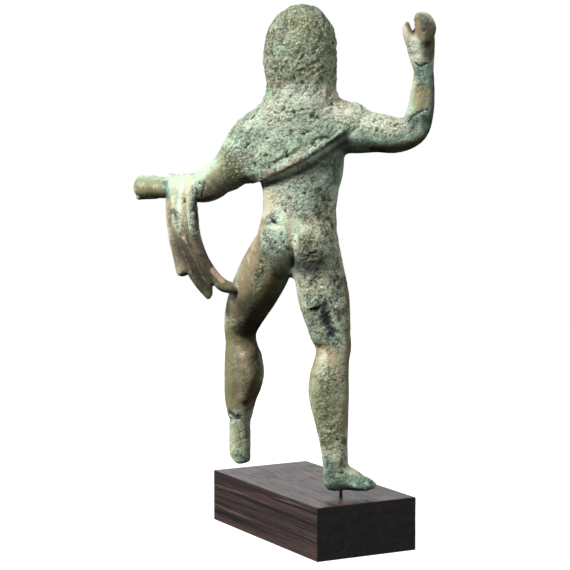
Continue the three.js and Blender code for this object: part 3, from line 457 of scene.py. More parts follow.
def modelKnottedPaws(wax):
    for at in bothSides:
        wax.add(Limb([
            at((-1.6, 14.8, 79.2, 1.9, 1.1)), at((-4, 17.8, 76.6, 1.6, 1)),
            at((-7.4, 19.2, 73.4, 1.2, 0.9)),
        ]), 0.5)
        wax.add(Limb([
            at((-8, 19.5, 72.6, 0.9)), at((-6.6, 19.2, 69.8, 1)), at((-6.3, 18.9, 68.4, 1.1)),
        ]), 0.35)
    wax.add(Ball((middle, 19.8, 73), (1.7, 1.2, 1.3)), 0.4)  # the knot


def modelFlaw(wax):  # a hollow in the back of the right thigh
    wax.cut(Ball((-3, 1.3, 35.4), (1.5, 0.8, 3.6)), 0.9)
    wax.cut(Limb([(-2.5, 2, 36.6, 0.7), (-1.9, 1.8, 34.9, 0.8), (-1.9, 1.7, 33.4, 0.5)]), 0.3)
    wax.cut(Limb([
        (-6, 2.4, 37.4, 0.2), (-4.6, 1.8, 37.5, 0.45), (-3.4, 1.6, 37.6, 0.7), (-3.2, 1.5, 39.2, 0.3),
    ]), 0.3)


def modelPinHole(wax):
    wax.cut(Limb([(0, 0, -3, 0.5), (0, 0, 3, 0.5)]), 0.05)


def modelFigure():
    wax = Wax()
    for model in (
        modelTrunk, modelSeat, modelRightLeg, modelRightFoot, modelLeftLeg, modelRightArm, modelRightHand,
        modelLeftArm, modelHood, modelSkin, modelFace, modelKnottedPaws, modelHangingFolds, modelFlaw,
        modelPinHole,
    ):
        model(wax)
    return wax


# The fine mesh


def sidesOf(triangles):  # the edges, and each triangle's three of them
    ends = np.sort(triangles[:, [0, 1, 1, 2, 2, 0]].reshape(-1, 2), axis=1).astype(np.int64)
    keys, which = np.unique(ends[:, 0] * 2**32 + ends[:, 1], return_inverse=True)
    return np.column_stack([keys >> 32, keys & 0xFFFFFFFF]), which.reshape(-1, 3)


def normalsOf(points, triangles):  # at the points, each the sum of its triangles' cross products
    a, b, c = points[triangles].transpose(1, 0, 2)
    faces = np.cross(b - a, c - a)
    columns = [
        sum(np.bincount(triangles[:, corner], faces[:, axis], len(points)) for corner in range(3))
        for axis in range(3)
    ]
    return unit(np.column_stack(columns))


def evened(values, edges):  # each point's value becomes the mean of its neighbours'
    a, b = edges.T
    count = np.bincount(a, minlength=len(values)) + np.bincount(b, minlength=len(values))
    columns = [
        np.bincount(a, column[b], len(values)) + np.bincount(b, column[a], len(values))
        for column in values.reshape(len(values), -1).T
    ]
    return (np.column_stack(columns) / count[:, None]).reshape(values.shape)


# Halves each edge that is longer than wanted(middles), and splits its triangles to match.
def divided(points, triangles, wanted):
    edges, sides = sidesOf(triangles)
    middles = points[edges].mean(1)
    tooLong = lengths(points[edges[:, 0]] - points[edges[:, 1]]) > wanted(middles)
    number = np.where(tooLong, len(points) + np.cumsum(tooLong) - 1, -1)[sides]
    count = (number >= 0).sum(1)
    shift = np.where(count == 2, (number < 0).argmax(1) + 1, (number >= 0).argmax(1))
    order = (np.arange(3) + shift[:, None]) % 3
    a, b, c = np.take_along_axis(triangles, order, 1).T
    ab, bc, ca = np.take_along_axis(number, order, 1).T
    patterns = {  # by how many of a triangle's sides are halved
        0: ((a, b, c),),
        1: ((a, ab, c), (ab, b, c)),
        2: ((ab, b, bc), (a, ab, bc), (a, bc, c)),
        3: ((a, ab, ca), (ab, b, bc), (ca, bc, c), (ab, bc, ca)),
    }
    pieces = [
        np.column_stack(corners)[count == halves]
        for halves, pattern in patterns.items()
        for corners in pattern
    ]
    return np.vstack([points, middles[tooLong]]), np.vstack(pieces)


# Moves the points onto the wax, step by step along the normals, between easings that keep
# them evenly spaced.
def settled(wax, points, triangles, rounds, ease=0.5):
    edges = sidesOf(triangles)[0]
    for _ in range(rounds):
        points = points + (evened(points, edges) - points) * ease
        for _ in range(2):
            away = np.clip(wax.at(points), -0.5, 0.5)[:, None]
            points = points - normalsOf(points, triangles) * away
    return points


def evenCopy(node, cell):  # a CAD node's solid as an even closed mesh of its own
    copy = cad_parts[node].data.copy()
    shape = bpy.data.objects.new("evenCopy", copy)
    bpy.context.scene.collection.objects.link(shape)
    weld = shape.modifiers.new("weld", "WELD")
    weld.merge_threshold = 1e-6
    voxels = shape.modifiers.new("voxels", "REMESH")
    voxels.mode = "VOXEL"
    voxels.voxel_size = cell
    mesh = shape.evaluated_get(bpy.context.evaluated_depsgraph_get()).to_mesh()
    mesh.calc_loop_triangles()
    points = np.empty(len(mesh.vertices) * 3)
    mesh.vertices.foreach_get("co", points)
    triangles = np.empty(len(mesh.loop_triangles) * 3, np.int32)
    mesh.loop_triangles.foreach_get("vertices", triangles)
    bpy.data.objects.remove(shape)
    bpy.data.meshes.remove(copy)
    return points.reshape(-1, 3), triangles.reshape(-1, 3).astype(np.int64)


def meshObject(name, points, triangles, smooth=True):
    mesh = bpy.data.meshes.new(name)
    mesh.vertices.add(len(points))
    mesh.vertices.foreach_set("co", points.ravel())
    mesh.loops.add(triangles.size)
    mesh.loops.foreach_set("vertex_index", triangles.ravel().astype(np.int32))
    mesh.polygons.add(len(triangles))
    mesh.polygons.foreach_set("loop_start", np.arange(0, triangles.size, 3, dtype=np.int32))
    mesh.polygons.foreach_set("use_smooth", np.full(len(triangles), smooth))
    mesh.update(calc_edges=True)
    thing = bpy.data.objects.new(name, mesh)
    bpy.context.scene.collection.objects.link(thing)
    return thing


# How closely the points stand, by region.
apart = {"face": 0.2, "cracks": 0.22, "details": 0.36, "back": 0.45, "elsewhere": 0.69}


def spacing(points):
    x, y, z = points.T
    face = (z > 82) & (z < 96) & (y > 17)
    hands = (z > 90) & (x > 8) | (x < -38)
    toes = (x > 2.5) & (z < 4)
    knot = (z > 66) & (z < 79) & (y > 16)
    cracks = strengthOf("dark", points) > 0.35
    back = (y < 13) & (x > -24) & (x < 9) & (z > 46)
    regions = {"face": face, "cracks": cracks, "details": hands | toes | knot, "back": back}
    return np.select(list(regions.values()), [apart[name] for name in regions], apart["elsewhere"])


def fineFigure():
    wax = modelFigure()
    points, triangles = evenCopy("figure", figure["cell"] * figure["share"])
    print("even mesh", len(points), "points,", len(triangles), "triangles")
    points = settled(wax, toShares(points), triangles, 2)
    for _ in range(3):
        points, triangles = divided(points, triangles, spacing)
        points = settled(wax, points, triangles, 1)
    print("fine mesh", len(points), "points,", len(triangles), "triangles")
    return points, triangles


# Corrosion


def randomAt(cells, seed):  # a fixed number in 0..1 for each whole-number place
    x, y, z = cells.T
    mixed = (x * 73856093 ^ y * 19349663 ^ z * 83492791 ^ seed * 40503577) & 0xFFFFFFFF
    mixed = (mixed ^ mixed >> 13) * 1274126177 & 0xFFFFFFFF
    mixed = (mixed ^ mixed >> 15) * 2246822519 & 0xFFFFFFFF
    return (mixed >> 8 & 0xFFFF) / 0xFFFF


# Smooth lumps from -1 to 1: the random numbers at the corners of cells of this size, blended
# across each cell by 3tt - 2ttt.
def lumps(points, size, seed):
    scaled = points / size
    base = np.floor(scaled).astype(np.int64)
    t = scaled - base
    t = t * t * (3 - 2 * t)
    total = 0
    for corner in np.ndindex(2, 2, 2):
        total = total + np.prod(np.where(corner, t, 1 - t), axis=1) * randomAt(base + corner, seed)
    return 2 * total - 1


# Marks on his back, drawn in x and z as seen from behind: a bell across each line.
def stroke(points, places, width):
    flat = points[:, [0, 2]]
    places = np.array(places, float).reshape(-1, 2)
    nearest = np.full(len(points), far)
    for a, b in zip(places, places[1:] if len(places) > 1 else places):
        along = b - a
        t = np.clip((flat - a) @ along / max(along @ along, 1e-9), 0, 1)[:, None]
        nearest = np.minimum(nearest, lengths(flat - a - along * t))
    return ridge(nearest, width)


# Each mark is its strength, the half width of its line and the line's places.
marks = {
    "rough": (  # crust, grain and pits
        (1, 2.7, (2.3, 77.2, 8.1, 75.7, 13, 74.5)), (0.95, 3.4, (-7.2, 61.8, -5.9, 57.7, -4.9, 54.1)),
        (0.6, 2.3, (-12.2, 61.8, -11.3, 58.5)), (0.55, 2.1, (-2, 65.9, -1.7, 59.6, -2, 53.9)),
        (0.6, 1.7, (-8.4, 65.1, -2.2, 68)), (1, 2.3, (-6.8, 51.7, -6.6, 48.4)),
        (0.6, 1.5, (-14.2, 55.8, -11.8, 57.3)), (0.9, 1.7, (-14.7, 52.2, -12.6, 49.9)),
        (0.9, 0.9, (-15.7, 49.3, -16.4, 45.8, -17.4, 41.8)),
        (0.5, 1.9, (-1.5, 53.1, -1, 46.9, 0.1, 42.2)), (1, 3.8, (-5.8, 43, -4.9, 39.4, -3.9, 34.8)),
        (1, 2.7, (-0.8, 42.3, -0.6, 35.6)), (0.8, 2.1, (-4.7, 31.5, -1.2, 30.7)),
        (0.5, 1.7, (-2.7, 24.3, -0.2, 23.4)), (0.38, 3.8, (-3.7, 22.3, -2.9, 14.8)),
        (0.7, 2.1, (-2.3, 12.4, -1.4, 9.5)), (0.95, 1.9, (-1.4, 8.3, -1, 3.8)),
        (0.8, 1.1, (-30.2, 61.6, -30.3, 54)), (0.35, 1.5, (-20.6, 9.2, -20.2, 3.7)),
        (1, 0.9, (-29.5, 62.9, -30, 58.4, -30.9, 54.8, -30.1, 52.3)),
        (0.7, 1.1, (-34.7, 56.3, -33.6, 52.5)), (0.4, 1.3, (-20.5, 22.7, -20.1, 18.4)),
        (0.5, 1.5, (16.2, 86.6, 16.5, 83.7)), (0.7, 1.3, (17.1, 76.8)),
        (0.2, 1.3, (14.4, 92.4, 14.9, 89.1)),
    ),
    "olive": (  # olive-brown patina
        (0.9, 1.1, (-43.6, 62.3, -38.8, 62.7)), (0.7, 1.7, (-26.3, 64.7, -21.8, 64.2)),
        (0.9, 1.7, (16.7, 82.5, 16.1, 79.8)), (0.95, 2.1, (-7.2, 51.7, -6.2, 48.4)),
        (0.85, 3.4, (-10.5, 96.5, -5.1, 97.3)), (0.7, 1.1, (-15.9, 46.6, -17, 41.8)),
        (0.7, 3.1, (-6, 43, -3.5, 31.5)), (0.9, 3.8, (-3.3, 23.9, -2.3, 13.8)),
        (0.5, 1.5, (-2.2, 52, -0.7, 45.7)), (0.5, 1.9, (-8.5, 84.6, -4.3, 83.7)),
        (0.7, 1.7, (-26.8, 63, -23.4, 64.7)), (0.5, 1.1, (-15.5, 46.7, -16.8, 42.7)),
        (0.5, 1.7, (-6, 89.1, -5.2, 86.2)), (0.8, 2.7, (-2.6, 95.3, -2, 85.6)),
        (0.6, 1.7, (-15.1, 88.3, -14.7, 84.6)), (0.5, 2.3, (-7.6, 97.7)),
        (0.4, 2.3, (-8.5, 89.7, -11.8, 87.4)), (0.9, 2.5, (-25.1, 69.2, -22.6, 66.3)),
        (0.6, 1.9, (-20.3, 68.4, -16.3, 66.6)), (0.4, 1.5, (-22.6, 73.3)),
        (0.6, 2.3, (-4.5, 60.5, -3, 54.4)), (0.8, 2.1, (-6.6, 50.5)),
        (0.55, 2.5, (-1.2, 42.3, -0.6, 35.6)), (0.85, 3.1, (-3.7, 21.5, -2.3, 13.8)),
        (0.6, 1.9, (-2.3, 10.3, -1.2, 7.5)), (0.6, 1.3, (-16.6, 47.9, -17.6, 42.7)),
        (0.85, 1.9, (-42.9, 61.7, -39.5, 61)), (0.9, 1.3, (-23.8, 32.2, -23.9, 15.7)),
        (0.7, 1.7, (-22.1, 10.1, -21.5, 5.8)), (0.4, 1.3, (14.4, 93.6, 15.5, 89.1)),
        (0.5, 0.8, (-29.7, 61.7, -30.5, 54.2)), (0.5, 1.3, (4, 73.5, 12.2, 72.7)),
        (0.5, 1.7, (-8.4, 64.3, -3.9, 66.8)),
    ),
    "teal": (  # blue-green patina
        (0.5, 1.5, (-14.7, 51.5, -12.8, 49.5)), (1, 2.1, (13.8, 75.5, 15.9, 77, 18.9, 76.7)),
        (0.6, 0.8, (18.6, 82.9, 18.9, 79.2)), (0.8, 1.5, (18.1, 74.3)), (0.9, 1.9, (15.2, 87, 18.2, 87)),
        (0.8, 1.5, (15.6, 84.8, 18.4, 84.8)), (0.75, 1.7, (1.9, 71.8, 11.4, 71.6)),
        (0.9, 0.7, (-10.5, 67.1, -7.4, 68.9, -2.6, 71.6, 0.9, 73.9)),
        (0.5, 1.7, (-8.4, 72.4, -5.1, 72.8)), (0.7, 1.7, (0.1, 68.8, -0.9, 65.5, -2.6, 62.6)),
        (0.5, 1.7, (-4.7, 61.8, -4.5, 56.8)), (1, 1.9, (-4.1, 38.6, -3.1, 35.6, -2, 31.5)),
        (0.5, 1.7, (-1.4, 41.7, -0.6, 38.9)), (0.4, 1.9, (-3.3, 19.4, -1.4, 18.5)),
        (1, 2.3, (-2.3, 5, -2.9, 1.6, 0.8, 1.2, 5.6, 1.7)), (0.6, 1.1, (0.8, 3.4, 3.1, 2.6)),
        (0.8, 0.8, (16.6, 97.7, 17.9, 96.8)), (0.9, 1.1, (-22.2, 3.8, -20.2, 2.6)),
        (1, 0.8, (-23.3, 11.3, -22.1, 11.2)), (1, 1.1, (-37.3, 62.6, -37, 60.2)),
        (0.6, 0.6, (-29.6, 58.4, -30.1, 54)), (0.45, 2.5, (-9.3, 96, -12.2, 92.8)),
        (0.3, 2.1, (-13.4, 89.5)), (0.3, 1.7, (-11.5, 90.3)), (0.5, 1.3, (-8.4, 52.1)),
        (0.2, 0.6, (-16.2, 46.6, -17, 42.3)), (0.5, 2.1, (-8.5, 82.1, -13.6, 80.9)),
        (0.4, 2.5, (-16.3, 76.3, -11.8, 73.9)),
    ),
    "bare": (  # smooth brown metal
        (0.7, 0.8, (13, 95.5, 13.6, 93.4)), (0.6, 1.5, (-5.3, 28.7, -5.5, 24.5)),
        (0.7, 0.9, (-36.5, 59.5, -36, 54.5, -34.7, 50.7)),
        (0.9, 1.3, (-32.1, 52.1, -29.9, 48.5, -27.8, 45.1)), (0.9, 1.7, (-42.9, 61.7, -38.4, 61.5)),
        (0.6, 1.7, (-4.7, 30, -1, 29.1)), (0.8, 0.8, (-30.3, 51.4, -28.6, 48)),
        (0.45, 1.7, (-2, 52.4, -0.8, 45.3)),
        (1, 2.5, (-14.3, 42.7, -15.6, 39.2, -18.1, 35.1, -19.7, 32.2)),
        (1, 2.9, (-20.3, 29.4, -19.1, 16)), (1, 2.1, (-22.9, 30, -23, 15.9)),
        (0.8, 0.8, (1.2, 43, 1.5, 33, 1.3, 22.8, 0.6, 10.6)),
        (0.9, 1.9, (-21, 63.3, -25.5, 61.1, -28.5, 60.6)), (0.7, 1.7, (-21.8, 65.5, -25.9, 64.2)),
        (1, 1.3, (-27.4, 63.4, -25.9, 61.7)), (1, 2.7, (-33.8, 49.5, -31.7, 45.3, -28.9, 40.2)),
        (1, 1.7, (-34.7, 46)), (1, 1.5, (-27, 44.6, -23.6, 41.2)),
        (0.9, 1.1, (6.9, 70.3, 14.8, 71, 18.1, 73.4, 19.3, 79.2, 19.3, 85.4)),
        (1, 1.9, (16.4, 97.1, 18.3, 94.8, 18.4, 90.3)), (0.9, 0.8, (15.5, 96.1, 15.7, 93.6)),
        (0.3, 1.5, (14.9, 94, 15.7, 89.1)), (1, 1.7, (16.7, 82.9, 16.3, 79.6)),
        (0.8, 1.5, (-3.3, 29.4, -1, 26.3)), (1, 2.5, (-18.1, 47.7, -20.4, 41.6, -22, 36.7)),
        (0.7, 1.3, (-16.6, 55, -17.6, 50.7, -19.8, 46.3)), (0.6, 1.1, (-43.4, 59.9, -38.8, 60.1)),
        (1, 1.2, (-3.1, 12.5, -2.9, 10.5)),
    ),
    "pink": (  # tan worn edges and flecks, and painted highlights along the ridges of the hanging folds
        # these two: painted highlights along the ridges of the hanging folds
        (0.6, 0.3, (-34.7, 51.6, -32.3, 46.1, -30.7, 41.4)),
        (0.6, 0.3, (-32.7, 50.9, -30.4, 46.2, -28.5, 42)),
        (1, 0.5, (-11.1, 56.9, -10.7, 53.6, -10.8, 49.9)), (0.7, 1.5, (-14.3, 61.7, -15.5, 57.1)),
        (1, 0.8, (-16.3, 64.5, -13, 65.6, -10.5, 67.3, -8.4, 68.9)), (0.5, 0.4, (-8.9, 69.7, -4.3, 72.6)),
        (0.8, 1.5, (-1.8, 81.7, 0.9, 79.2)), (1, 0.9, (9.8, 76.7, 11.8, 74.9)),
        (0.6, 0.6, (-7.2, 85.8, -6.2, 84.6)), (0.5, 0.6, (-15.5, 87.5, -14.9, 85.4)),
        (0.7, 0.6, (-15.1, 84.4, -11.8, 83.9)), (0.9, 0.4, (-34.9, 62.6, -35.3, 57.5)),
        (1, 0.5, (-31.5, 63.6, -32.3, 59.5, -33.3, 55.5, -33.1, 51.3)),
        (0.4, 1.7, (-21.6, 28.1, -20.3, 23.5)), (0.6, 1.5, (-1.6, 29.1, -0.6, 24.2)),
        (0.5, 1.3, (-4.1, 29.4, -4.3, 24.6)), (0.8, 1.1, (-0.8, 23.4)), (0.3, 0.8, (-3.1, 11.5)),
        (1, 0.8, (-26.8, 44.6, -24.9, 42.4)), (0.8, 0.8, (13, 95.2, 13.6, 92.8)),
        (0.6, 1.3, (-8.2, 44.9, -6.8, 40.9)), (0.3, 1.1, (-19.1, 47.2, -20.6, 42.5)),
        (0.6, 1.1, (-16.8, 53.8, -18.5, 49.7)), (0.6, 0.8, (-27.8, 63.4, -26.3, 62.2)),
        (0.5, 1.3, (-6.4, 54.9)), (0.6, 1.3, (-4.7, 30.5)), (0.5, 0.8, (-41.6, 63, -39.3, 62.3)),
        (0.4, 1.3, (-2.2, 78, 0.9, 75.9)), (0.5, 1.1, (16.3, 88.7)), (0.5, 1.3, (-2.2, 52.4, -1.8, 48.3)),
    ),
    "pale": (  # chalky crust, and painted highlights on the right shoulder's top, the back of the right knee and the left edges of the left thigh and the raised forearm
        (1, 2.3, (-0.5, 80, 2.3, 77.6, 6.5, 76.5)), (0.5, 2.5, (-10.5, 81.3, -3.3, 82.1)),
        (1, 0.7, (-9.3, 52.4, -9.9, 50.3, -10.1, 47.9)), (0.9, 0.8, (-14.2, 54, -12.2, 53.8)),
        (0.8, 1.3, (-13.4, 58, -12, 56.5)), (0.5, 0.8, (-9.1, 55.2, -7.8, 53.7)),
        (0.4, 1.3, (-19.6, 48.3, -21.3, 43.2, -23.1, 37.8)), (0.7, 3.4, (-11.3, 80.9, -14.7, 77.1)),
        (1, 2.9, (-6, 80.9, -0.1, 78.8)), (0.9, 1.1, (-19.5, 75.4, -18, 76.3)),
        (0.9, 1.9, (1.9, 77.8, 8.1, 75.9, 13, 75.1)), (0.3, 0.5, (15, 83.3, 14.5, 77.6)),
        (0.6, 1.1, (-3.5, 28.6, -3.3, 23.9)), (0.8, 0.5, (-3.9, 12.7, -2.3, 12.6)),
        (1, 0.5, (-33.3, 62.7, -33.8, 59.3, -34.2, 56.7)), (0.9, 0.6, (-30.8, 63.3, -30.2, 61.6)),
        (0.5, 0.8, (-5.1, 24.6, -3.9, 24.3)), (0.9, 0.6, (-30.3, 52.5)),
        (0.6, 0.8, (-15.1, 66.4, -12.6, 66.8)), (0.5, 1.3, (-6.4, 41.3, -3.1, 42.6)),
        (0.6, 0.6, (-23, 11.2, -21.7, 11.2)), (0.6, 0.8, (-1.3, 6.3, -0.6, 3.8)), (0.4, 0.6, (2.3, 1.7)),
        (0.9, 1.5, (14.8, 92.8, 15.3, 89.5)), (0.4, 1.3, (-42.9, 62.1, -39.3, 61.9)),
        (0.6, 2.9, (-11.3, 76.3, -8.4, 74.7)), (0.25, 1.7, (-5.5, 26.7, -5, 21)),
        (0.6, 2.5, (-11.8, 61.8, -10.5, 58.7)), (0.4, 0.6, (-34.7, 61.3)), (0.5, 0.8, (-3.9, 52.5)),
    ),
    "shade": (  # painted shade and painted shadows: under the hem and the seat, in folds and creases, on sides turned from the light, and the tail's shadow on the left thigh
        (0.9, 0.5, (13.5, 96.3, 14, 95.4, 14.7, 94.4)), (0.8, 1.5, (-8.8, 45.9, -4.3, 45.6)),
        (0.5, 1.3, (-18.3, 40, -19.4, 37.3)), (0.45, 1.7, (14.7, 75.5, 18.4, 76.5)),
        (0.6, 1.7, (-2.2, 45, -0.1, 42.3)), (0.25, 1.3, (-4.5, 61.4, -3.4, 56.8)),
        (0.9, 0.8, (-15.1, 63, -11.5, 63.9, -8, 65.6, -3.9, 68.4, 1.1, 71.8)),
        (0.6, 1.7, (-4.7, 65.5, -1.1, 67.6, 0.1, 69.2)), (0.4, 1.1, (-4.3, 61.8, -2.6, 60.5)),
        (1, 1.5, (-9.7, 46.6, -8.4, 45.7, -6.2, 45.6, -4.3, 46.5)),
        (0.3, 0.5, (-10.9, 49.5, -10.3, 46.8)), (0.7, 1.5, (-13, 46.8, -11.8, 44.1)),
        (0.45, 1.7, (-12, 44.1, -13.4, 41.3, -16, 38.3, -17.7, 35.1)),
        (0.5, 0.8, (-22.6, 40.3, -21.1, 36.8, -19.6, 34.1)), (0.35, 0.8, (-18.6, 23.1, -18.6, 18.3)),
        (0.5, 0.8, (-20.3, 21.8, -19.9, 18.4)), (1, 0.6, (-3.1, 38.5, -3.7, 37.5, -2.5, 34)),
        (0.9, 0.8, (-20.6, 62.9, -23.9, 60.7, -27.7, 59.9)), (0.7, 1.5, (-26.8, 62.6, -23, 63.6)),
        (0.9, 0.4, (-28.5, 63.4, -28.9, 60)), (0.85, 2.1, (-34.3, 49.9, -31.2, 45.8, -29.2, 41)),
        (0.9, 0.7, (-29.8, 61.2, -30.3, 53.1)), (0.9, 1.1, (-30.5, 51.9, -29, 48.9, -27.4, 46.3)),
        (0.8, 0.6, (-43, 59.5, -36.9, 59.9)), (0.8, 1.5, (17.7, 95.6, 18, 90.3)),
        (0.5, 0.6, (19.1, 85.6, 19.3, 76.7, 17.3, 72.2)), (0.8, 0.8, (2.4, 70.7, 12.3, 70.6, 17.3, 72.2)),
        (0.9, 0.6, (-2.7, 0.7, 0.9, -0.1, 6, 0.1)), (0.2, 0.8, (-1.6, 90.8, -1.4, 85)),
        (0.3, 1.5, (-4.7, 56.6, -5.9, 60.6)), (0.5, 1.3, (-6.8, 50.1)),
        (0.4, 0.6, (-19.3, 9, -19.4, 2.9)), (0.6, 0.6, (-26.9, 39.7, -23.2, 39.8)),
    ),
    "dark": (  # cracks and the larger pits, which are also cut into the surface; the material paints them near black as their shade
        (0.9, 0.4, (-30, 60.8)), (1, 0.4, (-30, 58.8)), (0.9, 0.4, (-30.7, 57.2)),
        (1, 0.5, (-30.1, 55.5)), (0.9, 0.4, (-30.9, 53.6)), (0.8, 0.3, (-31.5, 55.5)),
        (0.7, 0.3, (17.1, 94.6)), (0.8, 0.4, (-4.1, 61.8)), (0.8, 0.4, (-3.6, 59.5)),
        (0.7, 0.3, (-2.8, 57.8)), (0.8, 0.3, (-5.1, 58.3)), (0.7, 0.3, (-4.5, 56.6)),
        (0.6, 0.3, (-5.7, 60.3)), (0.6, 0.3, (-6.8, 58.5)), (0.6, 0.3, (-2.4, 55.9)),
        (1, 0.5, (-14.2, 55.6, -13.6, 55.2)), (0.9, 0.2, (-14.7, 56.2)), (0.7, 0.3, (-12.6, 57.1)),
        (0.7, 0.5, (-12.2, 53.2, -12.4, 51.6)), (0.9, 0.3, (-13.6, 50.9)), (0.9, 0.3, (-11.8, 51)),
        (0.6, 0.4, (-11.1, 52)), (0.7, 0.5, (-10.9, 49.7)),
        (1, 0.5, (-6.4, 37.3, -4.7, 37.7, -3.1, 38.7)), (1, 1.3, (-3.5, 36.5, -2.9, 34.8, -2, 32.6)),
        (0.8, 0.3, (-2.2, 39.3, -1.6, 37.7)), (1, 0.3, (13.9, 76.1, 14.7, 77.2, 15.9, 78, 18, 78.6)),
        (0.9, 0.2, (15, 88.3, 16.4, 87.4, 18.7, 88.3)), (1, 0.6, (-23.7, 13, -21.7, 12.1)),
        (1, 0.3, (-0.8, 10.7)), (0.7, 0.3, (-17.4, 25.6)), (0.7, 0.2, (-35.3, 56.4, -33.8, 55.1)),
        (0.9, 0.3, (-28.5, 63, -29.2, 59.4)), (0.6, 0.3, (-8.7, 78)), (0.7, 0.3, (-9.7, 73)),
        (0.7, 0.3, (-14.4, 76.1)), (0.7, 0.3, (-5.7, 57.2)), (0.7, 0.3, (-1.6, 76.7)),
        (0.7, 0.3, (-4.3, 93.2)), (0.8, 0.3, (-8.5, 88.7, -7.8, 89.9)),
        (0.8, 0.3, (-5.6, 87.8, -4.7, 88.7)), (0.6, 0.3, (-10.3, 93.6, -8.5, 94.8)),
        (0.6, 0.3, (-10.9, 88.3)), (0.7, 0.3, (-4.1, 22.5)), (0.8, 0.3, (-1.2, 4.2, 0.4, 4)),
        (0.7, 0.3, (-8.4, 47, -7.2, 47.7)), (0.6, 0.3, (-7.6, 49.6, -6, 49.1)),
    ),
}


def strengthOf(name, points):  # one mark at each point: strokes cover each other as paint does
    left = np.ones(len(points))
    for strength, width, places in marks[name]:
        left = left * (1 - strength * stroke(points, places, width))
    return 1 - left


# Each mark's strength at each point, with what goes by the region: the skin and the hood are
# rough all over, the face is calm, and the front has plain clouds of bare metal and crust.
def painted(points, normals):
    back = smoothStep(-normals[:, 1], -0.35, 0.25)  # his front takes none of the marks
    masks = {name: strengthOf(name, points) * back for name in marks}
    x, y, z = points.T
    over = overHem(points)
    skinned = smoothStep(over, -0.2, 0.5) * smoothStep(-x, -6.5, -4.5) * smoothStep(y, -1, 1) * (z < 86)
    onArm = smoothStep(-x, 20, 27)  # his left
    hood = smoothStep(z, 80, 84) * smoothStep(-x, -3, -1)
    onFace = smoothStep(y, 16.5, 18) * np.exp(-((x - middle) / 4.8) ** 4 - ((z - 87) / 7) ** 4)
    masks["rough"] = np.maximum(masks["rough"], skinned * (1 - 0.9 * onArm))
    masks["rough"] = np.maximum(masks["rough"], hood * (1 - 0.9 * onFace))
    masks["olive"] = np.maximum(masks["olive"], hood * (0.72 - 0.35 * masks["teal"]))
    masks["olive"] = np.maximum(masks["olive"], 0.45 * smoothStep(-z, -50, -38))
    cloak = smoothStep(z, 58, 66) * smoothStep(-z, -84, -80)
    masks["cool"] = np.maximum(cloak, 0.7 * hood)  # less warm in colour
    masks["under"] = smoothStep(-normals[:, 2], 0.05, 0.75)  # painted shade on what looks down
    ofFront = smoothStep(normals[:, 1], -0.1, 0.5) * (1 - hood)
    cloudy = 0.5 + 0.5 * lumps(points, 6.0, 11)
    masks["bare"] = np.maximum(masks["bare"], ofFront * smoothStep(cloudy, 0.3, 0.6) * 0.9)
    crusts = ofFront * (1 - onArm) * (1 - onFace) * smoothStep(cloudy, 0.62, 0.75) * 0.7
    masks["rough"] = masks["rough"] + (1 - masks["rough"]) * crusts
    return masks


corrosion = {  # depths and heights, in shares
    "waves": 0.07,
    "grain": 0.14,
    "knobs": 0.15,
    "pits": 0.26,
    "curls": 0.3,
    "brushed": 0.012,  # where it is smooth
    "cracks": 0.2,
    "sunk": 0.15,  # this far below its surroundings counts as fully sunk
}


# The corroded surface over the wax: lumps, pits and curled ridges where it is rough, and a
# slight waviness all over. What lies lower than its surroundings is marked as sunk.
def corroded(points, triangles):
    normals = normalsOf(points, triangles)
    edges = sidesOf(triangles)[0]
    masks = painted(points, normals)
    x, y, z = points.T
    rough = masks["rough"]
    hood = smoothStep(z, 78, 82) * smoothStep(-x, -2, 0)
    warped = points + 0.8 * np.column_stack([lumps(points, 2.0, seed) for seed in (61, 62, 63)])
    slanted = warped @ np.array([[0.8, 0, 0.3], [0, 1, 0], [-0.6, 0, 0.4]])
    tufts = 2.2 * np.abs(lumps(slanted, 1.6, 21)) - 0.7
    grain = lumps(warped, 1.5, 22) * (1 - hood) + tufts * hood * 1.6
    pits = lumps(warped, 1.3, 31) + 0.6 * lumps(warped, 0.8, 32) + 0.4 * lumps(points, 4.5, 33)
    pits = smoothStep(pits, 0.45, 0.85)
    curls = ridge(lumps(warped, 1.6, 23), 0.2)
    onSeat = stroke(points, (-6.4, 51.0, -6.2, 48.6), 2.4)
    onThigh = stroke(points, (-5.0, 42.0, -3.0, 36.0), 3.4)
    height = corrosion["waves"] * lumps(points, 5.0, 20) * (0.4 + rough)
    crust = (corrosion["grain"] - 0.05 * masks["cool"]) * grain
    crust += corrosion["knobs"] * lumps(points, 0.8, 25)
    height += rough * (crust - (corrosion["pits"] - 0.12 * hood) * pits)
    height += rough * np.minimum(onSeat + onThigh, 1) * (corrosion["curls"] * curls - 0.1)
    height += (1 - rough) * corrosion["brushed"] * lumps(points, 1.2, 24)
    ragged = (1 + 0.6 * lumps(warped, 1.0, 34)) * smoothStep(-normals[:, 1], -0.2, 0.3)
    height -= corrosion["cracks"] * masks["dark"] * ragged
    around = height
    for _ in range(3):
        around = evened(around, edges)
    masks["sunk"] = np.clip((around - height) / corrosion["sunk"], -1, 1)
    return points + normals * height[:, None], masks


def bronzeFigure():
    points, triangles = fineFigure()
    points, masks = corroded(points, triangles)
    bronze = meshObject("bronze_hero", toFrame(points), triangles)
    for name, values in masks.items():
        layer = bronze.data.attributes.new(name, "FLOAT", "POINT")
        layer.data.foreach_set("value", values.astype(np.float32))
    return bronze


bronze = bronzeFigure()
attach(bronze, "root")
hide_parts("figure")
print("figure ready")


# Materials


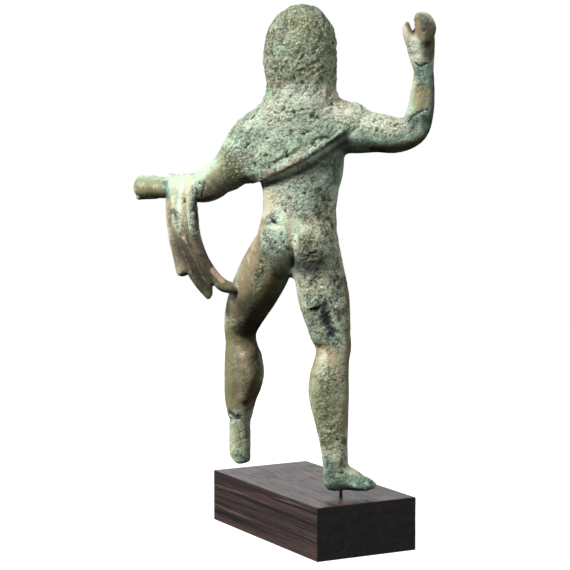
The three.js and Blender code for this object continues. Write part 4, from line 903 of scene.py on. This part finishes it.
class Shade:  # a value or a colour in a material; sums and products of values add Math nodes
    def __init__(self, tree, socket):
        self.tree = tree
        self.socket = socket

    def make(self, kind, settings=None, inputs=None, output=0):
        node = self.tree.nodes.new(kind)
        for name, value in (settings or {}).items():
            setattr(node, name, value)
        for name, value in (inputs or {}).items():
            if isinstance(value, Shade):
                self.tree.links.new(value.socket, node.inputs[name])
            else:
                node.inputs[name].default_value = value
        return Shade(self.tree, node.outputs[output])

    def math(self, operation, a, b=0.0):
        return self.make("ShaderNodeMath", {"operation": operation}, {0: a, 1: b})

    def __add__(self, other):
        return self.math("ADD", self, other)

    __radd__ = __add__

    def __sub__(self, other):
        return self.math("SUBTRACT", self, other)

    def __rsub__(self, other):
        return self.math("SUBTRACT", other, self)

    def __mul__(self, other):
        return self.math("MULTIPLY", self, other)

    __rmul__ = __mul__

    def most(self, other):
        return self.math("MAXIMUM", self, other)

    def between(self, low, high):  # 0 at low, 1 at high, smooth and held at both
        return self.make(
            "ShaderNodeMapRange", {"interpolation_type": "SMOOTHSTEP"},
            {"Value": self, "From Min": low, "From Max": high},
        )

    def over(self, under, colour):  # this value is how much of the colour covers what is under it
        return self.make("ShaderNodeMix", {"data_type": "RGBA"}, {0: self, 6: under, 7: colour}, 2)

    def noise(self, size, detail=3.0, rough=0.55, warp=0.0):  # size in metres
        return self.make("ShaderNodeTexNoise", {}, {
            "Vector": self, "Scale": 1 / size, "Detail": detail, "Roughness": rough, "Distortion": warp,
        })

    def cells(self, size):  # distance to the nearest of scattered points, in shares of the size
        return self.make("ShaderNodeTexVoronoi", {}, {"Vector": self, "Scale": 1 / size}, "Distance")

    def shifted(self, distance, size):  # pushed about by up to half the distance
        push = self.make("ShaderNodeTexNoise", {}, {"Vector": self, "Scale": 1 / size}, "Color")
        scale = {"operation": "MULTIPLY_ADD"}
        return self.make("ShaderNodeVectorMath", scale, {0: push, 1: (distance,) * 3, 2: self}, "Vector")

    def stretched(self, scale):
        return self.make("ShaderNodeMapping", {}, {"Vector": self, "Scale": scale})


def newMaterial(name):  # its main shader, and the place on the object
    material = bpy.data.materials.new(name)
    material.use_nodes = True
    tree = material.node_tree
    shader = tree.nodes["Principled BSDF"]
    start = Shade(tree, None)
    place = start.make("ShaderNodeTexCoord", output="Object")
    return material, shader, place


def plug(shader, name, shade):
    shade.tree.links.new(shade.socket, shader.inputs[name])


def bumped(height, depth):  # height 0..1 stands for depth, in metres
    return height.make("ShaderNodeBump", {}, {"Height": height, "Distance": depth, "Strength": 1.0})


def rgb(*parts):  # a colour as seen on a screen, 0 to 255, as light
    shares = [part / 255 for part in parts]
    return (*[s / 12.92 if s < 0.0405 else ((s + 0.055) / 1.055) ** 2.4 for s in shares], 1)


patina = {
    "ground": rgb(172, 192, 166),
    "groundWarm": rgb(190, 189, 156),
    "mint": rgb(206, 222, 202),
    "olive": rgb(110, 116, 76),
    "oliveWarm": rgb(122, 112, 76),
    "greenDark": rgb(48, 60, 42),
    "bare": rgb(136, 120, 88),
    "bareDark": rgb(86, 75, 55),
    "bareLight": rgb(172, 160, 132),
    "teal": rgb(84, 120, 104),
    "tealDark": rgb(42, 64, 54),
    "tealPale": rgb(158, 192, 182),
    "pink": rgb(198, 176, 150),
    "cream": rgb(218, 224, 200),
    # umber is the colour of the painted shade in folds and on faces that look down
    "umber": rgb(42, 41, 32),
    # near black, for painted shade in pits, cracks and the deepest hollows
    "paintedShadeBlack": rgb(24, 27, 22),
    "relief": 0.0013,  # metres of bump
}


def patinatedBronze():
    material, shader, place = newMaterial("patinatedBronze")

    def mark(name):
        return place.make("ShaderNodeAttribute", {"attribute_name": name}, {}, "Fac")

    # patterns, from the broadest to the finest
    broad = place.noise(0.013, 3, 0.6, 0.6)
    blotch = place.noise(0.0048, 4, 0.65, 0.8)
    middling = place.noise(0.0022, 4, 0.6, 0.3)
    knobs = place.shifted(0.0008, 0.0009).cells(0.0011)
    knobs = knobs * knobs
    hollows = place.shifted(0.0007, 0.0009).noise(0.001, 3, 0.6, 0.5)
    crust = place.noise(0.0009, 4, 0.7, 0.5)
    grain = place.noise(0.0005, 3, 0.62)
    ragged = (blotch - 0.5) * 1.4 + (middling - 0.5) * 0.8 + (grain - 0.5) * 0.5

    # the marks, with ragged edges
    sunk = mark("sunk")
    cool = mark("cool")
    crusted = (mark("rough") + ragged * 0.6).between(0.1, 0.7)
    bare = (mark("bare") + ragged * 0.7).between(0.2, 0.8)
    olive = (mark("olive") + ragged * 0.6).between(0.15, 0.95)
    teal = (mark("teal") + ragged * 0.9).between(0.3, 0.9)
    pale = (mark("pale") + ragged * 0.7).between(0.2, 1.0)
    pink = (mark("pink") + ragged * 0.7).between(0.25, 0.9)
    # painted shade on faces that look down
    down = (mark("under") + ragged * 0.3).between(0.2, 0.95)
    patchy = crusted * (0.35 + blotch.between(0.4, 0.6) * 0.65) * (1 - cool * 0.25)
    grit = patchy + (1 - bare) * 0.2
    # specks are small pits in the crust; with the deepest hollows and the dark marks they are painted
    # near black below, as their shade
    specks = patchy * (0.41 - hollows).between(0.0, 0.06)
    deep = (sunk.between(0.5, 1.1) * 0.8).most(specks * 0.62)
    deep = deep.most((mark("dark") + ragged * 0.9 + (grain - 0.5) * 1.2).between(0.4, 0.9) * 0.9)

    # colours that vary by themselves
    metal = broad.between(0.4, 0.6).over(patina["bare"], patina["bareDark"])
    metal = (middling.between(0.52, 0.68) * 0.3).over(metal, patina["bareLight"])
    brown = blotch.between(0.45, 0.6).over(patina["olive"], patina["oliveWarm"])
    green = blotch.between(0.42, 0.6).over(patina["tealDark"], patina["teal"])
    green = (middling.between(0.5, 0.62) * 0.6).over(green, patina["tealPale"])
    colour = (broad - cool * 0.15).between(0.40, 0.62).over(patina["ground"], patina["groundWarm"])

    for cover, hue in (  # from the ground up
        (middling.between(0.52, 0.66) * 0.5, patina["mint"]),
        (blotch.between(0.54, 0.66) * 0.35, patina["olive"]),
        (bare * 0.94, metal),
        (olive * 0.8, brown),
        (teal * 0.85, green),
        # chalky crust, with painted highlights where the pale marks lie on the shoulder, the knee and the
        # left edges
        (pale * 0.85, patina["cream"]),
        (pink * 0.7, patina["pink"]),
        # dark green in the creases between knobs and in the low crust, cream on the knob tops and the
        # high crust: patina, with painted shade and painted highlight that follow the bump
        (patchy * knobs.between(0.16, 0.42) * 0.4, patina["greenDark"]),
        (grit * (0.48 - crust).between(0.0, 0.12) * 0.25, patina["greenDark"]),
        (grit * crust.between(0.54, 0.66) * 0.3, patina["cream"]),
        (crusted * (0.11 - knobs).between(0.0, 0.08) * (0.25 + olive * 0.4), patina["cream"]),
        # by how far a place lies below its surroundings: green patina and painted shade darken the
        # hollows, and a painted highlight lightens the rises
        ((0 - sunk).between(0.05, 0.9) * crusted * 0.4, patina["cream"]),
        (sunk.between(0.1, 0.7) * crusted * 0.6, patina["greenDark"]),
        # painted shade in umber: the shade marks, lifted where the tan marks lie on the fold ridges, and
        # every face that looks down
        ((mark("shade") * (0.9 - pink * 0.5)).most(down * 0.6), patina["umber"]),
        (deep, patina["paintedShadeBlack"]),
    ):
        colour = cover.over(colour, hue)

    plug(shader, "Base Color", colour)
    plug(shader, "Metallic", bare * (1 - deep) * 0.15)
    plug(shader, "Roughness", 0.86 - bare * (1 - crusted) * 0.28 + (grain - 0.5) * 0.2)
    relief = grit * (1.5 * (crust - 0.46) - 0.9 * knobs + 0.6 * (grain - 0.5))
    relief = relief + 0.3 * middling - 0.5 * specks
    plug(shader, "Normal", bumped(relief, patina["relief"]))
    return material


wood = {
    "ground": rgb(24, 18, 19),
    "band": rgb(66, 48, 44),
    "streak": rgb(112, 84, 76),
    "pore": rgb(9, 7, 8),
    "endGrain": rgb(7, 6, 8),
    "relief": 0.00012,  # metres of bump
}


def darkWood():
    material, shader, place = newMaterial("darkWood")
    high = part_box("base_block")[1]

    def streaks(scale, detail, warp=0.0):  # noise drawn out along the block
        inputs = {"Vector": place.stretched(scale), "Scale": 1.0, "Detail": detail, "Distortion": warp}
        return place.make("ShaderNodeTexNoise", {}, inputs)

    grain = streaks((520, 14, 520), 5.0, 0.5)
    bands = streaks((150, 6, 330), 3.0, 0.9)
    pores = streaks((1700, 80, 1700), 2.0)
    colour = bands.between(0.40, 0.64).over(wood["ground"], wood["band"])
    colour = (grain.between(0.54, 0.68) * 0.7).over(colour, wood["streak"])
    colour = (pores.between(0.56, 0.68) * 0.8).over(colour, wood["pore"])
    along = place.make("ShaderNodeSeparateXYZ", {}, {0: place}, "Y")
    ends = along.math("ABSOLUTE", along).between(high[1] - 0.0006, high[1] - 0.0002)
    colour = (ends * 0.85).over(colour, wood["endGrain"])
    plug(shader, "Base Color", colour)
    plug(shader, "Roughness", 0.36 + grain * 0.16 + pores.between(0.55, 0.75) * 0.2 + ends * 0.3)
    plug(shader, "Normal", bumped(grain * 0.5 - pores.between(0.55, 0.72) * 0.6, wood["relief"]))
    return material


steel = {
    "dull": rgb(58, 54, 50),
    "rust": rgb(92, 66, 48),
    "metallic": 0.85,
    "scratches": 0.00003,  # metres of bump
}


def pinSteel():
    material, shader, place = newMaterial("pinSteel")
    rust = place.noise(0.0008, 4, 0.6)
    plug(shader, "Base Color", rust.between(0.45, 0.7).over(steel["dull"], steel["rust"]))
    plug(shader, "Roughness", 0.35 + rust * 0.3)
    shader.inputs["Metallic"].default_value = steel["metallic"]
    plug(shader, "Normal", bumped(place.stretched((1, 1, 0.1)).noise(0.0003), steel["scratches"]))
    return material


def dress(thing, material):
    thing.data.materials.clear()
    thing.data.materials.append(material)


dress(bronze, patinatedBronze())
dress(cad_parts["base_block"], darkWood())
dress(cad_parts["mounting_pin"], pinSteel())
print("materials ready")


# The studio


# His own axes as the camera sees them: right, away from the camera, and up, in metres from
# the middle of the block's foot.
studio = {
    "cameraPlace": (-0.0102, -0.7902, 0.1763),
    "pitch": 5.75,  # degrees down
    "lens": 131.43,  # for the sensor's 36 mm
    "toCamera": 28.45,  # degrees between the block's sides and the view
    "lights": {
        "key": {"place": (-0.60, -0.38, 0.68), "size": 0.2, "power": 13.8},
        "side": {"place": (-0.85, 0.10, 0.22), "size": 0.6, "power": 3.0},
        "top": {"place": (0.25, -0.30, 0.95), "size": 0.3, "power": 3.2},
        "fill": {"place": (0.80, -0.60, 0.34), "size": 0.35, "power": 3.2},
        "beyond": {"place": (-0.15, 1.20, 0.20), "size": 0.8, "power": 3.0},
        "soft": {"place": (0.12, -1.00, 0.02), "size": 0.6, "power": 0.9},  # low, beside the camera
    },
    "aim": (0.0, 0.0, 0.11),
    "floor": {"radius": 0.7, "dull": rgb(150, 150, 150), "pale": rgb(156, 156, 156), "glow": 0.93},
}


def fromCamera(place):  # right, away and up to the frame's x, y, z
    right, away, up = place
    angle = math.radians(studio["toCamera"])
    return Vector((
        -right * math.cos(angle) - away * math.sin(angle),
        right * math.sin(angle) - away * math.cos(angle),
        up,
    ))


def setCamera():
    data = bpy.data.cameras.new("camera")
    data.lens = studio["lens"]
    data.sensor_width = 36
    data.clip_start = 0.01
    camera = bpy.data.objects.new("camera", data)
    camera.location = fromCamera(studio["cameraPlace"])
    pitch = math.radians(studio["pitch"])
    sight = fromCamera((0, math.cos(pitch), -math.sin(pitch)))
    camera.rotation_euler = sight.to_track_quat("-Z", "Y").to_euler()
    bpy.context.scene.collection.objects.link(camera)
    bpy.context.scene.camera = camera


def setLight(name, settings):
    data = bpy.data.lights.new(name, "AREA")
    data.shape = "DISK"
    data.size = settings["size"]
    data.energy = settings["power"]
    light = bpy.data.objects.new(name, data)
    light.location = fromCamera(settings["place"])
    towards = fromCamera(studio["aim"]) - light.location
    light.rotation_euler = towards.to_track_quat("-Z", "Y").to_euler()
    bpy.context.scene.collection.objects.link(light)


def setWorld():  # a white backdrop that only the camera sees
    world = bpy.data.worlds.new("studio")
    bpy.context.scene.world = world
    world.use_nodes = True
    world.node_tree.nodes["Background"].inputs["Color"].default_value = (1, 1, 1, 1)
    world.cycles_visibility.diffuse = False
    world.cycles_visibility.glossy = False


def paleFloor():
    material, shader, place = newMaterial("paleFloor")
    floor = studio["floor"]
    colour = place.noise(0.02, 3).between(0.3, 0.7).over(floor["dull"], floor["pale"])
    plug(shader, "Base Color", colour)
    shader.inputs["Roughness"].default_value = 0.8
    shader.inputs["Emission Color"].default_value = (1, 1, 1, 1)
    shader.inputs["Emission Strength"].default_value = floor["glow"]
    return material


def layFloor():  # a round pale plate under the block
    sides = 96
    angles = np.linspace(0, 2 * math.pi, sides + 1)[:-1]
    rim = studio["floor"]["radius"] * np.column_stack([np.cos(angles), np.sin(angles), 0 * angles])
    corners = np.arange(sides) + 1
    sectors = np.column_stack([np.zeros(sides, int), corners, np.roll(corners, -1)])
    floor = meshObject("floor", np.vstack([np.zeros((1, 3)), rim]), sectors, False)
    floor.visible_diffuse = False
    floor.visible_glossy = False
    dress(floor, paleFloor())


setCamera()
for name, settings in studio["lights"].items():
    setLight(name, settings)
setWorld()
layFloor()
bpy.context.scene.view_settings.view_transform = "Standard"
print("studio ready")
